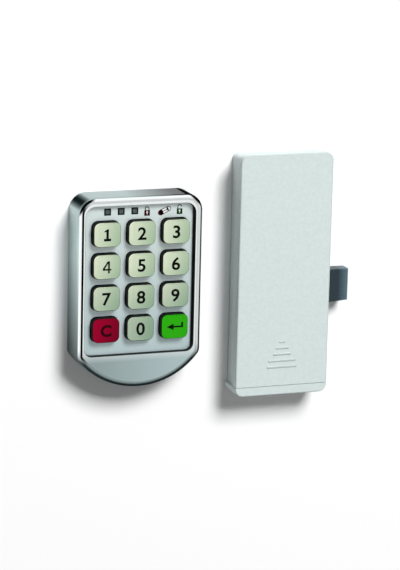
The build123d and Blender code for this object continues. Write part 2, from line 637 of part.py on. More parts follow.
def pinion_outline():
    """Gear outline with involute flanks, in the plane across its axis, one tooth pointing down."""
    base_radius = pinion_pitch_radius * math.cos(pressure_angle)
    tip_radius = pinion_pitch_radius + gear_module
    root_radius = pinion_pitch_radius - dedendum
    middle_radius = (base_radius + tip_radius) / 2
    play_angle = tooth_play / 2 / pinion_pitch_radius
    involute_at_pitch = math.tan(pressure_angle) - pressure_angle
    half_tooth = math.pi / 2 / pinion_teeth - play_angle + involute_at_pitch
    turn = 2 * math.pi / pinion_teeth

    def flank(radius):
        """Angle between the middle of a tooth and its flank at a radius past the base circle."""
        roll = math.acos(base_radius / radius)
        return half_tooth - (math.tan(roll) - roll)

    def point(radius, angle):
        return (radius * math.cos(angle), radius * math.sin(angle))

    with BuildSketch(Plane.XY) as outline:
        with BuildLine():
            for tooth in range(pinion_teeth):
                centre = -math.pi / 2 + tooth * turn
                for side in (-1, 1):
                    Line(point(root_radius, centre + side * half_tooth),
                         point(base_radius, centre + side * half_tooth))
                    ThreePointArc(point(base_radius, centre + side * half_tooth),
                                  point(middle_radius, centre + side * flank(middle_radius)),
                                  point(tip_radius, centre + side * flank(tip_radius)))
                ThreePointArc(point(tip_radius, centre - flank(tip_radius)), point(tip_radius, centre),
                              point(tip_radius, centre + flank(tip_radius)))
                ThreePointArc(point(root_radius, centre + half_tooth),
                              point(root_radius, centre + turn / 2),
                              point(root_radius, centre + turn - half_tooth))
        make_face()
    return outline.sketch


# Pinion on the output shaft of the gear motor
motor_axis = (pinion_x, pinion_z)
with BuildPart() as drive_pinion:
    with BuildSketch(across(pinion_high_y)) as toothed:
        with Locations(motor_axis):
            add(pinion_outline())
            Circle(pinion_bore, mode=Mode.SUBTRACT)
    extrude(amount=pinion_high_y - pinion_low_y)
finish(drive_pinion, "drive_pinion")

with BuildPart() as output_shaft:
    rods(across(pinion_high_y + shaft_overhang), shaft_radius,
         pinion_high_y + shaft_overhang - gearbox_front + shaft_seat, [motor_axis])
finish(output_shaft, "output_shaft")

# Gear motor in its cradle
with BuildPart() as gearbox:
    slab(across(gearbox_front), motor_width, motor_height, gearbox_length, at=motor_axis,
         corner=gearbox_corner)
    rods(across(gearbox_front), shaft_radius + shaft_room, shaft_hole_depth, [motor_axis],
         mode=Mode.SUBTRACT)
finish(gearbox, "gearbox")


def flatted_round(y, radius, height, length):
    """A cylinder along Y with a flat above and below."""
    with BuildSketch(across(y)) as face:
        with Locations(motor_axis):
            Circle(radius)
            Rectangle(2 * radius, height, mode=Mode.INTERSECT)
    extrude(face.sketch, amount=length)


with BuildPart() as motor:
    flatted_round(gearbox_front - gearbox_length, motor_width / 2, motor_height, motor_length)
finish(motor, "motor")

with BuildPart() as motor_end_cap:
    flatted_round(motor_back, motor_width / 2 - end_cap_step, motor_height - 2 * end_cap_step,
                  end_cap_length)
    for x in (pinion_x - terminal_x, pinion_x + terminal_x):
        slab(across(end_cap_back), terminal_width, terminal_height, terminal_length, at=(x, pinion_z))
finish(motor_end_cap, "motor_end_cap")

cradle_half = motor_width / 2 + cradle_wall
hollow_low = pinion_z - (motor_height + cradle_play) / 2
with BuildPart() as motor_cradle:
    span(lock(base_floor), (pinion_x - cradle_half, motor_back + cradle_wall / 2),
         (pinion_x + cradle_half, gearbox_front - cradle_wall / 4), cradle_top - base_floor)
    span(lock(hollow_low), (pinion_x - (motor_width + cradle_play) / 2, motor_back),
         (pinion_x + (motor_width + cradle_play) / 2, gearbox_front), cradle_top - hollow_low,
         mode=Mode.SUBTRACT)
finish(motor_cradle, "motor_cradle")

# Plate that holds the head of the bolt down
with BuildPart() as bolt_guide_plate:
    span(lock(guide_height), (guide_screw_x - guide_plate_half_width, guide_low_y),
         (guide_screw_x + guide_plate_half_width, guide_high_y), guide_plate_thickness)
    rods(lock(guide_height), clearance_hole_radius, guide_plate_thickness, guide_places,
         mode=Mode.SUBTRACT)
finish(bolt_guide_plate, "bolt_guide_plate")

with BuildPart() as guide_screws:
    rods(lock(guide_height - guide_screw_depth), small_screw_radius,
         guide_screw_depth + guide_plate_thickness, guide_places)
    rods(lock(guide_height + guide_plate_thickness), small_head_radius, small_head_height, guide_places)
finish(guide_screws, "guide_screws")

# Lock circuit board with its parts
with BuildPart() as lock_board:
    span(lock(lock_board_low), *lock_board_corners, lock_board_thickness)
    rods(lock(lock_board_low), clearance_hole_radius, lock_board_thickness, board_post_places,
         mode=Mode.SUBTRACT)
finish(lock_board, "lock_board")

with BuildPart() as lock_board_screws:
    rods(lock(base_floor + board_screw_gap), small_screw_radius,
         lock_board_top - base_floor - board_screw_gap, board_post_places)
    rods(lock(lock_board_top), small_head_radius, small_head_height, board_post_places)
finish(lock_board_screws, "lock_board_screws")

with BuildPart() as lock_board_parts:
    slab(lock(lock_board_top), lock_chip_size, lock_chip_size, lock_chip_height, at=lock_chip_place)
    rods(lock(lock_board_top), capacitor_radius, capacitor_height, [capacitor_place])
    for place in resistor_places:
        slab(lock(lock_board_top), resistor_width, resistor_length, resistor_height, at=place)
finish(lock_board_parts, "lock_board_parts")

with BuildPart() as lock_cable_socket:
    cable_socket(lock(lock_board_top), lock_socket_place, lock_socket_height)
finish(lock_cable_socket, "lock_cable_socket")

# Switch that senses the drawn-back bolt by the end of its tail
with BuildPart() as position_switch:
    span(lock(base_floor), *switch_corners, switch_height)
    rods(across(switch_corners[1][1]), plunger_radius, -plunger_length, [(plunger_x, plunger_z)])
finish(position_switch, "position_switch")

# Leads of the motor and of the cells
with BuildPart() as motor_leads:
    for route in motor_lead_routes:
        lead(route)
finish(motor_leads, "motor_leads")

with BuildPart() as battery_leads:
    for route in battery_lead_routes:
        lead(route)
finish(battery_leads, "battery_leads")


def cell_column(index):
    """X of the middle of a cell."""
    return (index - (cell_count - 1) / 2) * cell_pitch


def nub_is_near(index):
    """Whether a cell's nub points to the near end of the bay. Every other cell is turned."""
    return index % 2 == 1


def from_nub_wall(index, distance):
    """Y at a distance from the wall that a cell's nub faces."""
    return bay_start + distance if nub_is_near(index) else bay_end - distance


# Four cells with their nubs to alternate ends, each node turned about its own nub wall
for index in range(cell_count):
    facing = -1 if nub_is_near(index) else 1
    body_start = from_nub_wall(index, contact_thickness + contact_gap + nub_length)
    axis_point = (cell_column(index), cell_height)
    with BuildPart() as cell:
        rods(across(body_start), cell_radius, facing * (cell_length - nub_length), [axis_point])
        chamfer(cell.edges().filter_by(GeomType.CIRCLE), cell_edge)
        rods(across(body_start), nub_radius, -facing * nub_length, [axis_point])
    finish(cell, f"battery_{index + 1}")

# Flat contacts at the nubs. The first and last cells' near contacts carry the solder tabs
with BuildPart() as contact_plates:
    for index in range(cell_count):
        column = cell_column(index)
        wall_y = from_nub_wall(index, 0.0)
        inner_y = from_nub_wall(index, contact_thickness)
        span(lock(contact_low), (column - contact_half_width, min(wall_y, inner_y)),
             (column + contact_half_width, max(wall_y, inner_y)), contact_height)
    span(lock(tab_low), (tab_inner, bay_start), (tab_outer, bay_start + contact_thickness),
         tab_high - tab_low)
finish(contact_plates, "contact_plates")

with BuildPart() as contact_springs:
    for index in range(cell_count):
        foot_y = bay_end if nub_is_near(index) else bay_start
        inward = -1 if nub_is_near(index) else 1
        leaf_plane = Plane(origin=(lock_x + cell_column(index) - spring_half_width, lock_y + foot_y, 0),
                           x_dir=(0, inward, 0), z_dir=(inward, 0, 0))
        with BuildSketch(leaf_plane) as leaf_face:
            with BuildLine():
                Polyline(*spring_leaf)
            trace(line_width=contact_thickness)
        extrude(amount=inward * 2 * spring_half_width)
    span(lock(tab_low), (-tab_outer, bay_start), (-tab_inner, bay_start + contact_thickness),
         tab_high - tab_low)
finish(contact_springs, "contact_springs")
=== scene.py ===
"""Looks of the electronic cabinet lock: a keypad unit and a bolt unit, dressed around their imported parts."""

import math

import bmesh
import bpy
from bpy.props import FloatProperty, FloatVectorProperty, PointerProperty
from mathutils import Matrix, Vector


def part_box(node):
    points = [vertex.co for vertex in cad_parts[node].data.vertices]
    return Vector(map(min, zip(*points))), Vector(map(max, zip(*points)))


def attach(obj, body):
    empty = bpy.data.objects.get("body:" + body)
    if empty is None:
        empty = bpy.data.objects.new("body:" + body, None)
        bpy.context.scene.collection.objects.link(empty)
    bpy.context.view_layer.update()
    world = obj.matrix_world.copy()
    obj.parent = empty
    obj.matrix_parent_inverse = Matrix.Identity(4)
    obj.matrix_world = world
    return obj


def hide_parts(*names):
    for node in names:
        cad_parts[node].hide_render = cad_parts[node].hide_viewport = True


bl_info = {
    "name": "Electronic Cabinet Lock",
    "version": (1, 0, 0),
    "blender": (4, 5, 0),
    "location": "View3D > Sidebar > Cabinet Lock",
    "description": "Adds the keypad unit and the bolt unit of an electronic cabinet lock",
    "category": "Object",
}

MM = 0.001
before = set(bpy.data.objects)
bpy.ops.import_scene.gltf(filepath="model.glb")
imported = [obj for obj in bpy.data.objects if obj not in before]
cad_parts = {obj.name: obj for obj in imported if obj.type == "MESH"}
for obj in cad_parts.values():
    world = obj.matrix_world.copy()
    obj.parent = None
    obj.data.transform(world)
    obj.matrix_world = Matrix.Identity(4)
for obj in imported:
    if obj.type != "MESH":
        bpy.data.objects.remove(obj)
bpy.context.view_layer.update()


# Units, places and colours


def linear(code):
    """An sRGB hex colour as linear red, green and blue."""
    channels = [int(code[i : i + 2], 16) / 255 for i in (0, 2, 4)]
    return tuple(c / 12.92 if c <= 0.04045 else ((c + 0.055) / 1.055) ** 2.4 for c in channels)


def middle(node):
    """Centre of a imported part's box."""
    low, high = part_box(node)
    return (low + high) / 2


def per_mm(size):
    """Scale of a texture whose features are to be this many millimetres wide."""
    return 1 / (size * MM)


# Places on the keypad are measured from about its middle, found from its upper end, and those on the case
# from the middle of its box
TO_KEYPAD_TOP = 42 * MM
KEYPAD = Vector((middle("keypad_housing").x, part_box("keypad_housing")[1].y - TO_KEYPAD_TOP, 0))
CASE = middle("lock_base")
FACE_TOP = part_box("face_plate")[1].z
KEY_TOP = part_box("key_5")[1].z
CASE_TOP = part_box("lock_base")[1].z
KEY_NAMES = ["1", "2", "3", "4", "5", "6", "7", "8", "9", "0", "c", "enter"]

# How much a wall made by an inset leans, and how near a point counts as lying in a cut or at a height
DRAFT = 0.01 * MM
CUT_REACH, LEVEL_REACH = 1e-7, 1e-6

# A noise keeps mostly between these values
NOISE_RANGE = (0.3, 0.7)

# Grip lines on the battery cover: their Y on the case and their length, in millimetres
GRIP_LINES = [(-33.6, 3.3), (-36.8, 7.0), (-40.0, 9.9), (-43.4, 14.9), (-46.6, 16.1)]


def length(name, description, millimetres):
    """A size property in metres, with its default given in millimetres."""
    return FloatProperty(
        name=name, description=description, default=millimetres * MM, min=0.0, precision=5, unit="LENGTH"
    )


def colour(name, description, code):
    """A colour property with its default given as sRGB hex."""
    return FloatVectorProperty(
        name=name, description=description, default=linear(code), size=3, min=0.0, max=1.0, subtype="COLOR"
    )


class LockSizes(bpy.types.PropertyGroup):
    """Sizes of the dressed pieces."""

    foot_radius: length("Foot Radius", "Radius of the arc at the foot of the keypad housing", 39.8)
    top_corner: length("Top Corner", "Radius of the housing's upper corners", 8.5)
    side_corner: length("Side Corner", "Radius where the housing's sides meet its foot", 4.0)
    wall: length("Wall", "Thickness of the housing's wall", 2.2)
    edge_round: length("Edge Round", "Radius of the housing's upper edge", 1.6)
    groove_inset: length("Groove Inset", "Distance of the groove from the housing's outline", 1.75)
    groove_width: length("Groove Width", "Width of the groove round the housing's rim", 1.1)
    groove_depth: length("Groove Depth", "Depth of the groove round the housing's rim", 0.4)
    recess_corner: length("Recess Corner", "Radius of the recess's upper corners", 5.2)
    recess_foot_corner: length("Recess Foot Corner", "Radius of the recess's lower corners", 4.2)
    plate_gap: length("Plate Gap", "Gap between the face plate and the recess", 0.25)
    window: length("Window Opening", "Side of the openings for the status windows", 3.5)
    key_width: length("Key Width", "Width of a key's cap", 13.85)
    key_length: length("Key Length", "Length of a key's cap", 12.3)
    key_corner: length("Key Corner", "Radius of a key's upright corners", 3.0)
    key_gap: length("Key Gap", "Gap round a key", 0.3)
    key_edge: length("Key Edge", "Radius of a key's upper edge", 0.6)
    key_dish: length("Key Dish", "Depth of the hollow in a key's face", 0.22)
    figure_height: length("Figure Height", "Height of the figures on the keys", 6.0)
    ink: length("Ink", "Thickness of printed ink", 0.04)
    case_edge: length("Case Edge", "Radius of the bolt unit's upper edge", 0.7)
    case_corner: length("Case Corner", "Radius of the bolt unit's upright corners", 4.0)
    cover_wall: length("Cover Wall", "Thickness of the battery cover's top", 1.5)
    skirt_wall: length("Skirt Wall", "Thickness of the battery cover's skirt", 1.3)
    grip_width: length("Grip Width", "Width of a grip line", 0.9)
    grip_height: length("Grip Height", "Height of a grip line", 0.3)


class LockColours(bpy.types.PropertyGroup):
    """Colours of the finishes."""

    chrome: colour("Satin Chrome", "Plating on the foot of the housing's front", "A6B8B9")
    # Paler than the foot's plating: a painted highlight
    rim_highlight_chrome: colour("Rim Chrome", "Plating on the rim round the recess", "F2F7F6")
    wall_chrome: colour("Wall Chrome", "Plating on the side of the housing", "C2D5D4")
    # A dark tone for painted shade at the foot of the side and of the edge, and at the right end of the top
    wall_foot_shade: colour("Wall Foot", "Plating on the side of the housing near its foot", "4B5B5C")
    # Darker than the side: painted shade on the upper end
    wall_top: colour("Wall Top", "Plating on the upper end of the housing", "A8B9B8")
    silver: colour("Face Plate", "Silver at the upper end of the face plate", "DBE8E5")
    # Darker than the upper end: painted shade
    silver_foot_shade: colour("Face Plate Foot", "Silver at the lower end of the face plate", "BED0D2")
    # Painted light and painted shade across a key's face
    key_lit: colour("Key Light", "Champagne lacquer where it is thin", "E6EDD3")
    key_shaded: colour("Key Deep", "Champagne lacquer where it is thick", "96B293")
    # Near black: painted shade on the keys' sides
    key_side_shade: colour("Key Side", "Dark moulding at the sides of the keys", "060A06")
    red: colour("Red Key", "Lacquer of the cancel key", "A80030")
    green: colour("Green Key", "Lacquer of the enter key", "2CA810")
    figure: colour("Figure", "Ink of the figures", "040504")
    case: colour("Case", "Moulded plastic of the bolt unit", "CDD9D7")
    bolt: colour("Bolt", "Steel of the bolt", "5F7682")


# Mesh steps shared by the pieces


def face_of(bm, points, z=0.0):
    """A level face through corner points given by their X and Y."""
    return bm.faces.new([bm.verts.new((x, y, z)) for x, y in points])


def round_corners(bm, face, corners, radius, turn=math.pi / 2, segments=8):
    """Round some corners of a lone flat face. The turn is how far the outline turns at each of them."""
    others = set(bm.faces) - {face}
    bmesh.ops.bevel(
        bm,
        geom=corners,
        offset=radius * math.tan(turn / 2),
        offset_type="OFFSET",
        segments=segments,
        profile=0.5,
        affect="VERTICES",
        material=-1,
    )
    return next(f for f in bm.faces if f not in others)


def rounded_rectangle(bm, low, high, z, corner=0.0, foot_corner=None):
    """A flat rounded rectangle. The two corners at low Y may have a radius of their own."""
    left, right, lower, upper = low[0], high[0], low[1], high[1]
    face = face_of(bm, [(left, lower), (right, lower), (right, upper), (left, upper)], z)
    foot, top = face.verts[:2], face.verts[2:]
    if corner:
        face = round_corners(bm, face, top, corner)
    foot_corner = corner if foot_corner is None else foot_corner
    if foot_corner:
        face = round_corners(bm, face, [v for v in foot if v.is_valid], foot_corner)
    return face


def inset(bm, face, inward, rise=0.0, finish=None):
    """Draw a level face's rim inwards and lift the face. The faces made round it may get a finish."""
    ring = bmesh.ops.inset_region(
        bm, faces=[face], thickness=inward, depth=0.0, use_even_offset=True, use_boundary=True
    )["faces"]
    bmesh.ops.translate(bm, verts=face.verts, vec=(0, 0, rise))
    if finish is not None:
        for made in ring:
            made.material_index = finish


def round_edge(bm, face, radius, steps=5, rise=1, finish=None, bare_steps=0, bare_finish=0):
    """Carry a face inwards through a quarter round, up out of its walls or, with a rise of -1, down.

    The first steps may have a finish of their own.
    """
    for step in range(steps):
        start, end = (k * math.pi / 2 / steps for k in (step, step + 1))
        if rise < 0:
            start, end = math.pi / 2 - start, math.pi / 2 - end
        inward = abs(math.cos(start) - math.cos(end)) * radius
        lift = rise * abs(math.sin(end) - math.sin(start)) * radius
        inset(bm, face, inward, lift, bare_finish if step < bare_steps else finish)


def raise_face(bm, face, height):
    """Extrude a face upwards into a block, and return its top. The face stays as the block's foot."""
    made = bmesh.ops.extrude_face_region(bm, geom=[face], use_keep_orig=True)["geom"]
    top = next(item for item in made if isinstance(item, bmesh.types.BMFace))
    bmesh.ops.translate(bm, verts=top.verts, vec=(0, 0, height))
    return top


def block(bm, low, high, corner=0.0, edge=0.0):
    """A block between two corners, with its upright corners and its top edge rounded."""
    foot = rounded_rectangle(bm, low, high, low[2], corner)
    top = raise_face(bm, foot, high[2] - low[2] - edge)
    if edge:
        round_edge(bm, top, edge, steps=3)


def open_face(bm, face):
    """Take a face away and return the edges round the hole."""
    edges = list(face.edges)
    bmesh.ops.delete(bm, geom=[face], context="FACES_ONLY")
    return edges


def fill_flat(bm, edges, normal=(0, 0, 1), finish=0):
    """Fill the flat area between an outer ring of edges and the rings of its holes."""
    filled = bmesh.ops.triangle_fill(bm, edges=edges, use_beauty=True, use_dissolve=False, normal=normal)
    for face in (item for item in filled["geom"] if isinstance(item, bmesh.types.BMFace)):
        face.material_index = finish


def lower_ring(bm, edges, depth):
    """Hang walls from a ring of edges and return the ring at their foot."""
    made = bmesh.ops.extrude_edge_only(bm, edges=edges)["geom"]
    verts = {item for item in made if isinstance(item, bmesh.types.BMVert)}
    bmesh.ops.translate(bm, verts=list(verts), vec=(0, 0, -depth))
    return [item for item in made if isinstance(item, bmesh.types.BMEdge) and verts.issuperset(item.verts)]


def slice_at(bm, geometry, x):
    """Cut geometry by a plane across X."""
    bmesh.ops.bisect_plane(bm, geom=geometry, plane_co=(x, 0, 0), plane_no=(1, 0, 0), dist=CUT_REACH)


def new_since(bm, known):
    """Faces that a mesh has gained."""
    return [face for face in bm.faces if face not in known]


def add_piece(name, bm, materials, body, slot=None, replaces=(), sharp=35):
    """Turn a finished mesh into a piece that rides on a body of the lock."""
    bmesh.ops.recalc_face_normals(bm, faces=bm.faces)
    for face in bm.faces:
        face.smooth = True
    mesh = bpy.data.meshes.new(name)
    bm.to_mesh(mesh)
    bm.free()
    mesh.set_sharp_from_angle(angle=math.radians(sharp))
    for material in materials:
        mesh.materials.append(material)
    piece = bpy.data.objects.new(name, mesh)
    bpy.context.scene.collection.objects.link(piece)
    weighted = piece.modifiers.new("Even shading", "WEIGHTED_NORMAL")
    weighted.keep_sharp = True
    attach(piece, body)
    if replaces:
        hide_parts(*replaces)


# Material steps shared by the finishes


def tint(rgb, factor):
    """A colour made lighter or darker."""
    return tuple(min(1.0, c * factor) for c in rgb)


class Shading:
    """The node tree of a material or a world, emptied to be built anew."""

    def __init__(self, owner):
        owner.use_nodes = True
        self.tree = owner.node_tree
        self.tree.nodes.clear()

    def add(self, kind, *values, output=None, **named):
        """Add a node and return its first output in use, or the output that is named.

        Values fill the inputs in use in their order. A name with a capital is that of an input, with
        underscores for spaces, and any other is a setting of the node. A value that is a socket is linked.
        """
        node = self.tree.nodes.new("ShaderNode" + kind)
        for name, value in named.items():
            if name.islower():
                setattr(node, name, value)
        inputs = list(zip((s for s in node.inputs if s.enabled), values))
        inputs += [(node.inputs[n.replace("_", " ")], value) for n, value in named.items() if not n.islower()]
        for socket, value in inputs:
            if isinstance(value, bpy.types.NodeSocket):
                self.tree.links.new(value, socket)
            else:
                socket.default_value = (*value, 1.0) if socket.type == "RGBA" else value
        return node.outputs[output] if output else next((s for s in node.outputs if s.enabled), None)


class Finish(Shading):
    """A material in the making: its Principled shader and the place of a point, for its patterns."""

    def __init__(self, name, **inputs):
        self.material = bpy.data.materials.new(name)
        super().__init__(self.material)
        surface = self.add("BsdfPrincipled", **inputs)
        self.shader = surface.node
        self.add("OutputMaterial", surface)
        self.place = self.add("TexCoord", output="Object")

    def give(self, **sockets):
        """Link sockets to the shader's inputs, which are named with underscores for spaces."""
        for name, socket in sockets.items():
            self.tree.links.new(socket, self.shader.inputs[name.replace("_", " ")])

    def mottle(self, noise, first, second, most=1.0):
        """A tone that a noise draws from one colour towards another, at most by a share."""
        share = self.add("MapRange", noise, *NOISE_RANGE, 0.0, most)
        return self.add("Mix", share, first, second, data_type="RGBA")

    def speckle(self, base, size, dark, light, detail=2.0):
        """Vary the tone between two tints of a colour in spots of some millimetres, and return the spots."""
        spots = self.add("TexNoise", self.place, Scale=per_mm(size), Detail=detail)
        self.give(Base_Color=self.mottle(spots, tint(base, dark), tint(base, light)))
        return spots

    def texture(self, noise, roughness=None, relief=0.0):
        """Let a noise run the roughness over a range and raise the surface by a height in millimetres."""
        if roughness:
            self.give(Roughness=self.add("MapRange", noise, *NOISE_RANGE, *roughness))
        if relief:
            self.give(Normal=self.add("Bump", Height=noise, Distance=relief * MM))

    def plating(self, roughness, relief):
        """Vary plating finely in its shine, ripple it as the casting under it does, and return the ripple."""
        ripple = self.add("TexNoise", self.place, Scale=per_mm(9.0))
        self.texture(self.add("TexNoise", self.place, Scale=per_mm(0.35), Detail=4.0), roughness)
        self.texture(ripple, relief=relief)
        return ripple

    def ramp(self, axis, start, end, low=0.0, high=1.0, unit=KEYPAD):
        """A value that runs from low to high along an axis, between millimetres from the middle of a unit."""
        along = self.add("SeparateXYZ", self.place, output=axis)
        zero = getattr(unit, axis.lower())
        return self.add("MapRange", along, zero + start * MM, zero + end * MM, low, high)

    def fade(self, axis, start, end, first, second, **limits):
        """A tone that turns from one colour to another along an axis, by a ramp."""
        share = self.ramp(axis, start, end, **limits)
        return self.add("Mix", share, first, second, data_type="RGBA")

    def corner(self, side, start, end):
        """How deep a point of the housing lies in its upper corner at one side, from 0 to 1."""
        lean = self.add("VectorMath", self.place, (side, 1, 0), operation="DOT_PRODUCT")
        zero = side * KEYPAD.x + KEYPAD.y
        return self.add("MapRange", lean, zero + start * MM, zero + end * MM, 0.0, 1.0)

    def right_edge_dark_reflection(self):
        """Share of painted dark reflection out on the housing's right rounded edge, less towards its upper
        end.
        """
        out = self.ramp("X", 30.7, 31.3, high=0.9)
        down = self.ramp("Y", -15.0, 30.0, 1.0, 0.4)
        return self.add("Math", out, down, operation="MULTIPLY")

    def paint_dark_reflection(self, tone, *shares):
        """Painted dark reflection: a metal's tone turned black, without a gleam at low angles, where a share
        is high.
        """
        most = shares[0]
        for share in shares[1:]:
            most = self.add("Math", most, share, operation="MAXIMUM")
        gleam = self.add("Mix", most, (1.0, 1.0, 1.0), (0.0, 0.0, 0.0), data_type="RGBA")
        dark_reflection_tone = self.add("Mix", most, tone, linear("070A0B"), data_type="RGBA")
        self.give(Base_Color=dark_reflection_tone, Specular_Tint=gleam)


# Finishes of the keypad unit


def satin_chrome(colours):
    """Satin chrome on the front of the zinc casting."""
    # Plated metal keeps soft mirror reflections. The rim is painted paler than the broad foot as a painted
    # highlight
    finish = Finish("satin_chrome_on_cast_zinc", Metallic=1.0)
    # Painted shade darkens the foot to the left, and painted light brightens it to the right
    foot_painted_shading = finish.fade("X", -22.0, 22.0, tint(colours.chrome, 0.78), tint(colours.chrome, 1.18))
    tone = finish.fade("Y", -41.0, -33.0, foot_painted_shading, colours.rim_highlight_chrome)
    ripple = finish.plating((0.2, 0.24), 0.015)
    finish.give(Base_Color=finish.mottle(ripple, tone, colours.chrome, 0.1))
    return finish.material


def edge_chrome(colours):
    """Chrome on the rounded edge of the zinc casting, with a painted highlight and painted dark reflections.
    """
    # The rounded edge is painted pale as a painted highlight. Its upper corners and its outermost edge at the
    # right are painted black as painted dark reflections, and the edge at the foot is painted dark teal as
    # painted shade
    finish = Finish("polished_chrome_with_painted_reflections", Metallic=1.0)
    ripple = finish.plating((0.12, 0.16), 0.004)
    bright = finish.mottle(ripple, colours.rim_highlight_chrome, colours.chrome, 0.06)
    tone = finish.fade("Y", -41.0, -34.0, tint(colours.wall_foot_shade, 0.55), bright)
    finish.paint_dark_reflection(tone, finish.corner(-1, 64.5, 66.2), finish.right_edge_dark_reflection(), finish.corner(1, 66.2, 67.2))
    return finish.material


def wall_chrome(colours):
    """Satin chrome on the side of the zinc casting, blasted before plating, and darkened by painted shade."""
    # Blasting under the plating blurs what the side mirrors. Painted light makes the side brightest at its
    # upper half, painted shade greys it towards the foot and along the top towards the right, and painted dark
    # reflections blacken the upper corners and the right edge
    finish = Finish("blasted_chrome_with_painted_shade", Metallic=1.0)
    finish.plating((0.32, 0.41), 0.015)
    side_painted_shading = finish.fade("Y", -40.0, 12.0, colours.wall_foot_shade, colours.wall_chrome)
    top_painted_shade = finish.fade("X", -6.0, 19.0, colours.wall_top, tint(colours.wall_foot_shade, 0.3))
    tone = finish.fade("Y", 20.0, 39.0, side_painted_shading, top_painted_shade)
    # Painted dark reflections: a streak in the upper left corner below the rim, the upper right corner and the
    # right edge
    edge_foot, streak_top = 15.3 * MM, 16.3 * MM
    height = finish.add("SeparateXYZ", finish.place, output="Z")
    on_edge = finish.add("Math", height, edge_foot, operation="GREATER_THAN")
    below_rim = finish.add("Math", height, streak_top, operation="LESS_THAN")
    edge = finish.add("Math", on_edge, finish.right_edge_dark_reflection(), operation="MULTIPLY")
    dark_reflection_streak = finish.add("Math", finish.corner(-1, 67.6, 69.3), below_rim, operation="MULTIPLY")
    finish.paint_dark_reflection(tone, dark_reflection_streak, finish.corner(1, 64.5, 65.6), edge)
    return finish.material


def recess_painted_shade():
    """Near black on the walls of the recess: painted shade."""
    # The walls are painted matt and nearly black as painted shade
    finish = Finish("recess_black_painted_shade", Roughness=0.6, IOR=1.3)
    cover = finish.add("TexNoise", finish.place, Scale=per_mm(1.5))
    finish.give(Base_Color=finish.mottle(cover, linear("020303"), linear("080A0A")))
    return finish.material


def groove_painted_shade(colours):
    """The groove, painted black at its left side as painted shade, and elsewhere toned like the plating round
    it.
    """
    # The black along the left side is painted shade. Elsewhere the groove is paler near the rim as a painted
    # highlight and darker towards the foot, with a faint random mottle
    finish = Finish("groove_with_painted_shade", Roughness=0.4, IOR=1.15)
    groove_tone = finish.fade("Y", -42.0, -32.0, tint(colours.chrome, 0.75), tint(colours.rim_highlight_chrome, 0.85))
    smears = finish.add("TexNoise", finish.place, Scale=per_mm(0.8))
    mottled_groove_tone = finish.mottle(smears, groove_tone, linear("0A0D0D"), 0.1)
    # Painted shade: black along the groove's left side, with the plating's metal to the right
    thin = finish.ramp("X", -29.2, -26.0)
    finish.give(Base_Color=finish.add("Mix", thin, linear("030404"), mottled_groove_tone, data_type="RGBA"), Metallic=thin)
    return finish.material


def painted_plate(colours):
    """Fine matt silver paint on the aluminium face plate."""
    # A metallic paint has no clear reflections, only a soft sheen with fine flakes. Painted light makes it
    # paler towards its upper end, and a near-black band along its right edge is painted shade
    finish = Finish("matt_silver_painted_aluminium", Metallic=0.5)
    flakes = finish.add("TexNoise", finish.place, Scale=per_mm(0.5), Detail=3.0)
    tone = finish.fade("Y", -36.0, 34.0, colours.silver_foot_shade, colours.silver)
    tone = finish.mottle(flakes, tone, tint(colours.silver_foot_shade, 0.75), 0.15)
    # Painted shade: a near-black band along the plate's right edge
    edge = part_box("face_plate")[1]
    finish.give(Base_Color=finish.fade("X", -1.0, -0.5, tone, linear("050807"), high=0.95, unit=edge))
    finish.texture(flakes, (0.4, 0.5), 0.006)
    return finish.material


def key_lacquer(name, thin, deep, foot_shade_share=0.0, gloss=0.08):
    """Metallic lacquer on a key's face, with painted shade that dims and greens it towards the keypad's foot.
    """
    # Painted shade deepens the tone towards one side of the face, and its flakes give a satin sheen
    finish = Finish(name, Metallic=0.35, Roughness=0.38, Specular_IOR_Level=gloss)
    # Painted shade across the face, by a point's place on it
    across = finish.add("SeparateXYZ", finish.add("UVMap")).node.outputs
    lean = finish.add("Math", across["Y"], -0.3, across["X"], operation="MULTIPLY_ADD")
    depth = finish.add("MapRange", lean, -0.2, 0.95, 0.0, 1.0)
    tone = finish.add("Mix", depth, thin, deep, data_type="RGBA")
    flakes = finish.add("TexNoise", finish.place, Scale=per_mm(0.5), Detail=3.0)
    tone = finish.mottle(flakes, tone, deep, 0.22)
    finish.give(Base_Color=finish.fade("Y", -22.0, 8.0, tone, linear("35705F"), low=foot_shade_share, high=0.0))
    return finish.material


def key_side_painted_shade(colours):
    """Near black on the sides of the key caps: painted shade."""
    # The sides are painted nearly black as painted shade, and are a little glossy
    finish = Finish("dark_key_sides_painted_shade", Roughness=0.5, IOR=1.15)
    finish.speckle(colours.key_side_shade, 2.0, 0.7, 1.2)
    return finish.material


def printing_ink(name, base):
    """Pad-printed ink."""
    # A thin matt film with slightly uneven cover, which hardly reflects
    finish = Finish(name, Roughness=0.7, IOR=1.2)
    finish.speckle(base, 0.6, 0.85, 1.0)
    return finish.material


def smoked_window():
    """Smoked acrylic over the status lights."""
    # The dark window shows the faint mesh of the light guide below its polished face
    finish = Finish("smoked_acrylic_window", Roughness=0.2, IOR=1.49)
    cells = [linear("4A5B5D"), linear("445557"), linear("222D2D")]
    mesh = {"Scale": per_mm(1.0), "Mortar_Size": 0.1, "Brick_Width": 0.8, "Row_Height": 0.8, "offset": 0.0}
    finish.give(Base_Color=finish.add("TexBrick", finish.place, *cells, **mesh))
    return finish.material


# Finishes of the bolt unit and the inner parts


def case_plastic(colours):
    """Pale grey ABS moulded in a spark-eroded tool."""
    # The tool's fine texture makes the surface evenly matt, with a faint mottle
    finish = Finish("pale_grey_moulded_abs", IOR=1.53)
    finish.speckle(colours.case, 1.6, 0.95, 1.02, detail=3.0)
    # Real spark erosion is 0.05 mm wide; 0.35 mm still shows in the render
    grain = finish.add("TexNoise", finish.place, Scale=per_mm(0.35))
    finish.texture(grain, (0.52, 0.68), 0.02)
    return finish.material


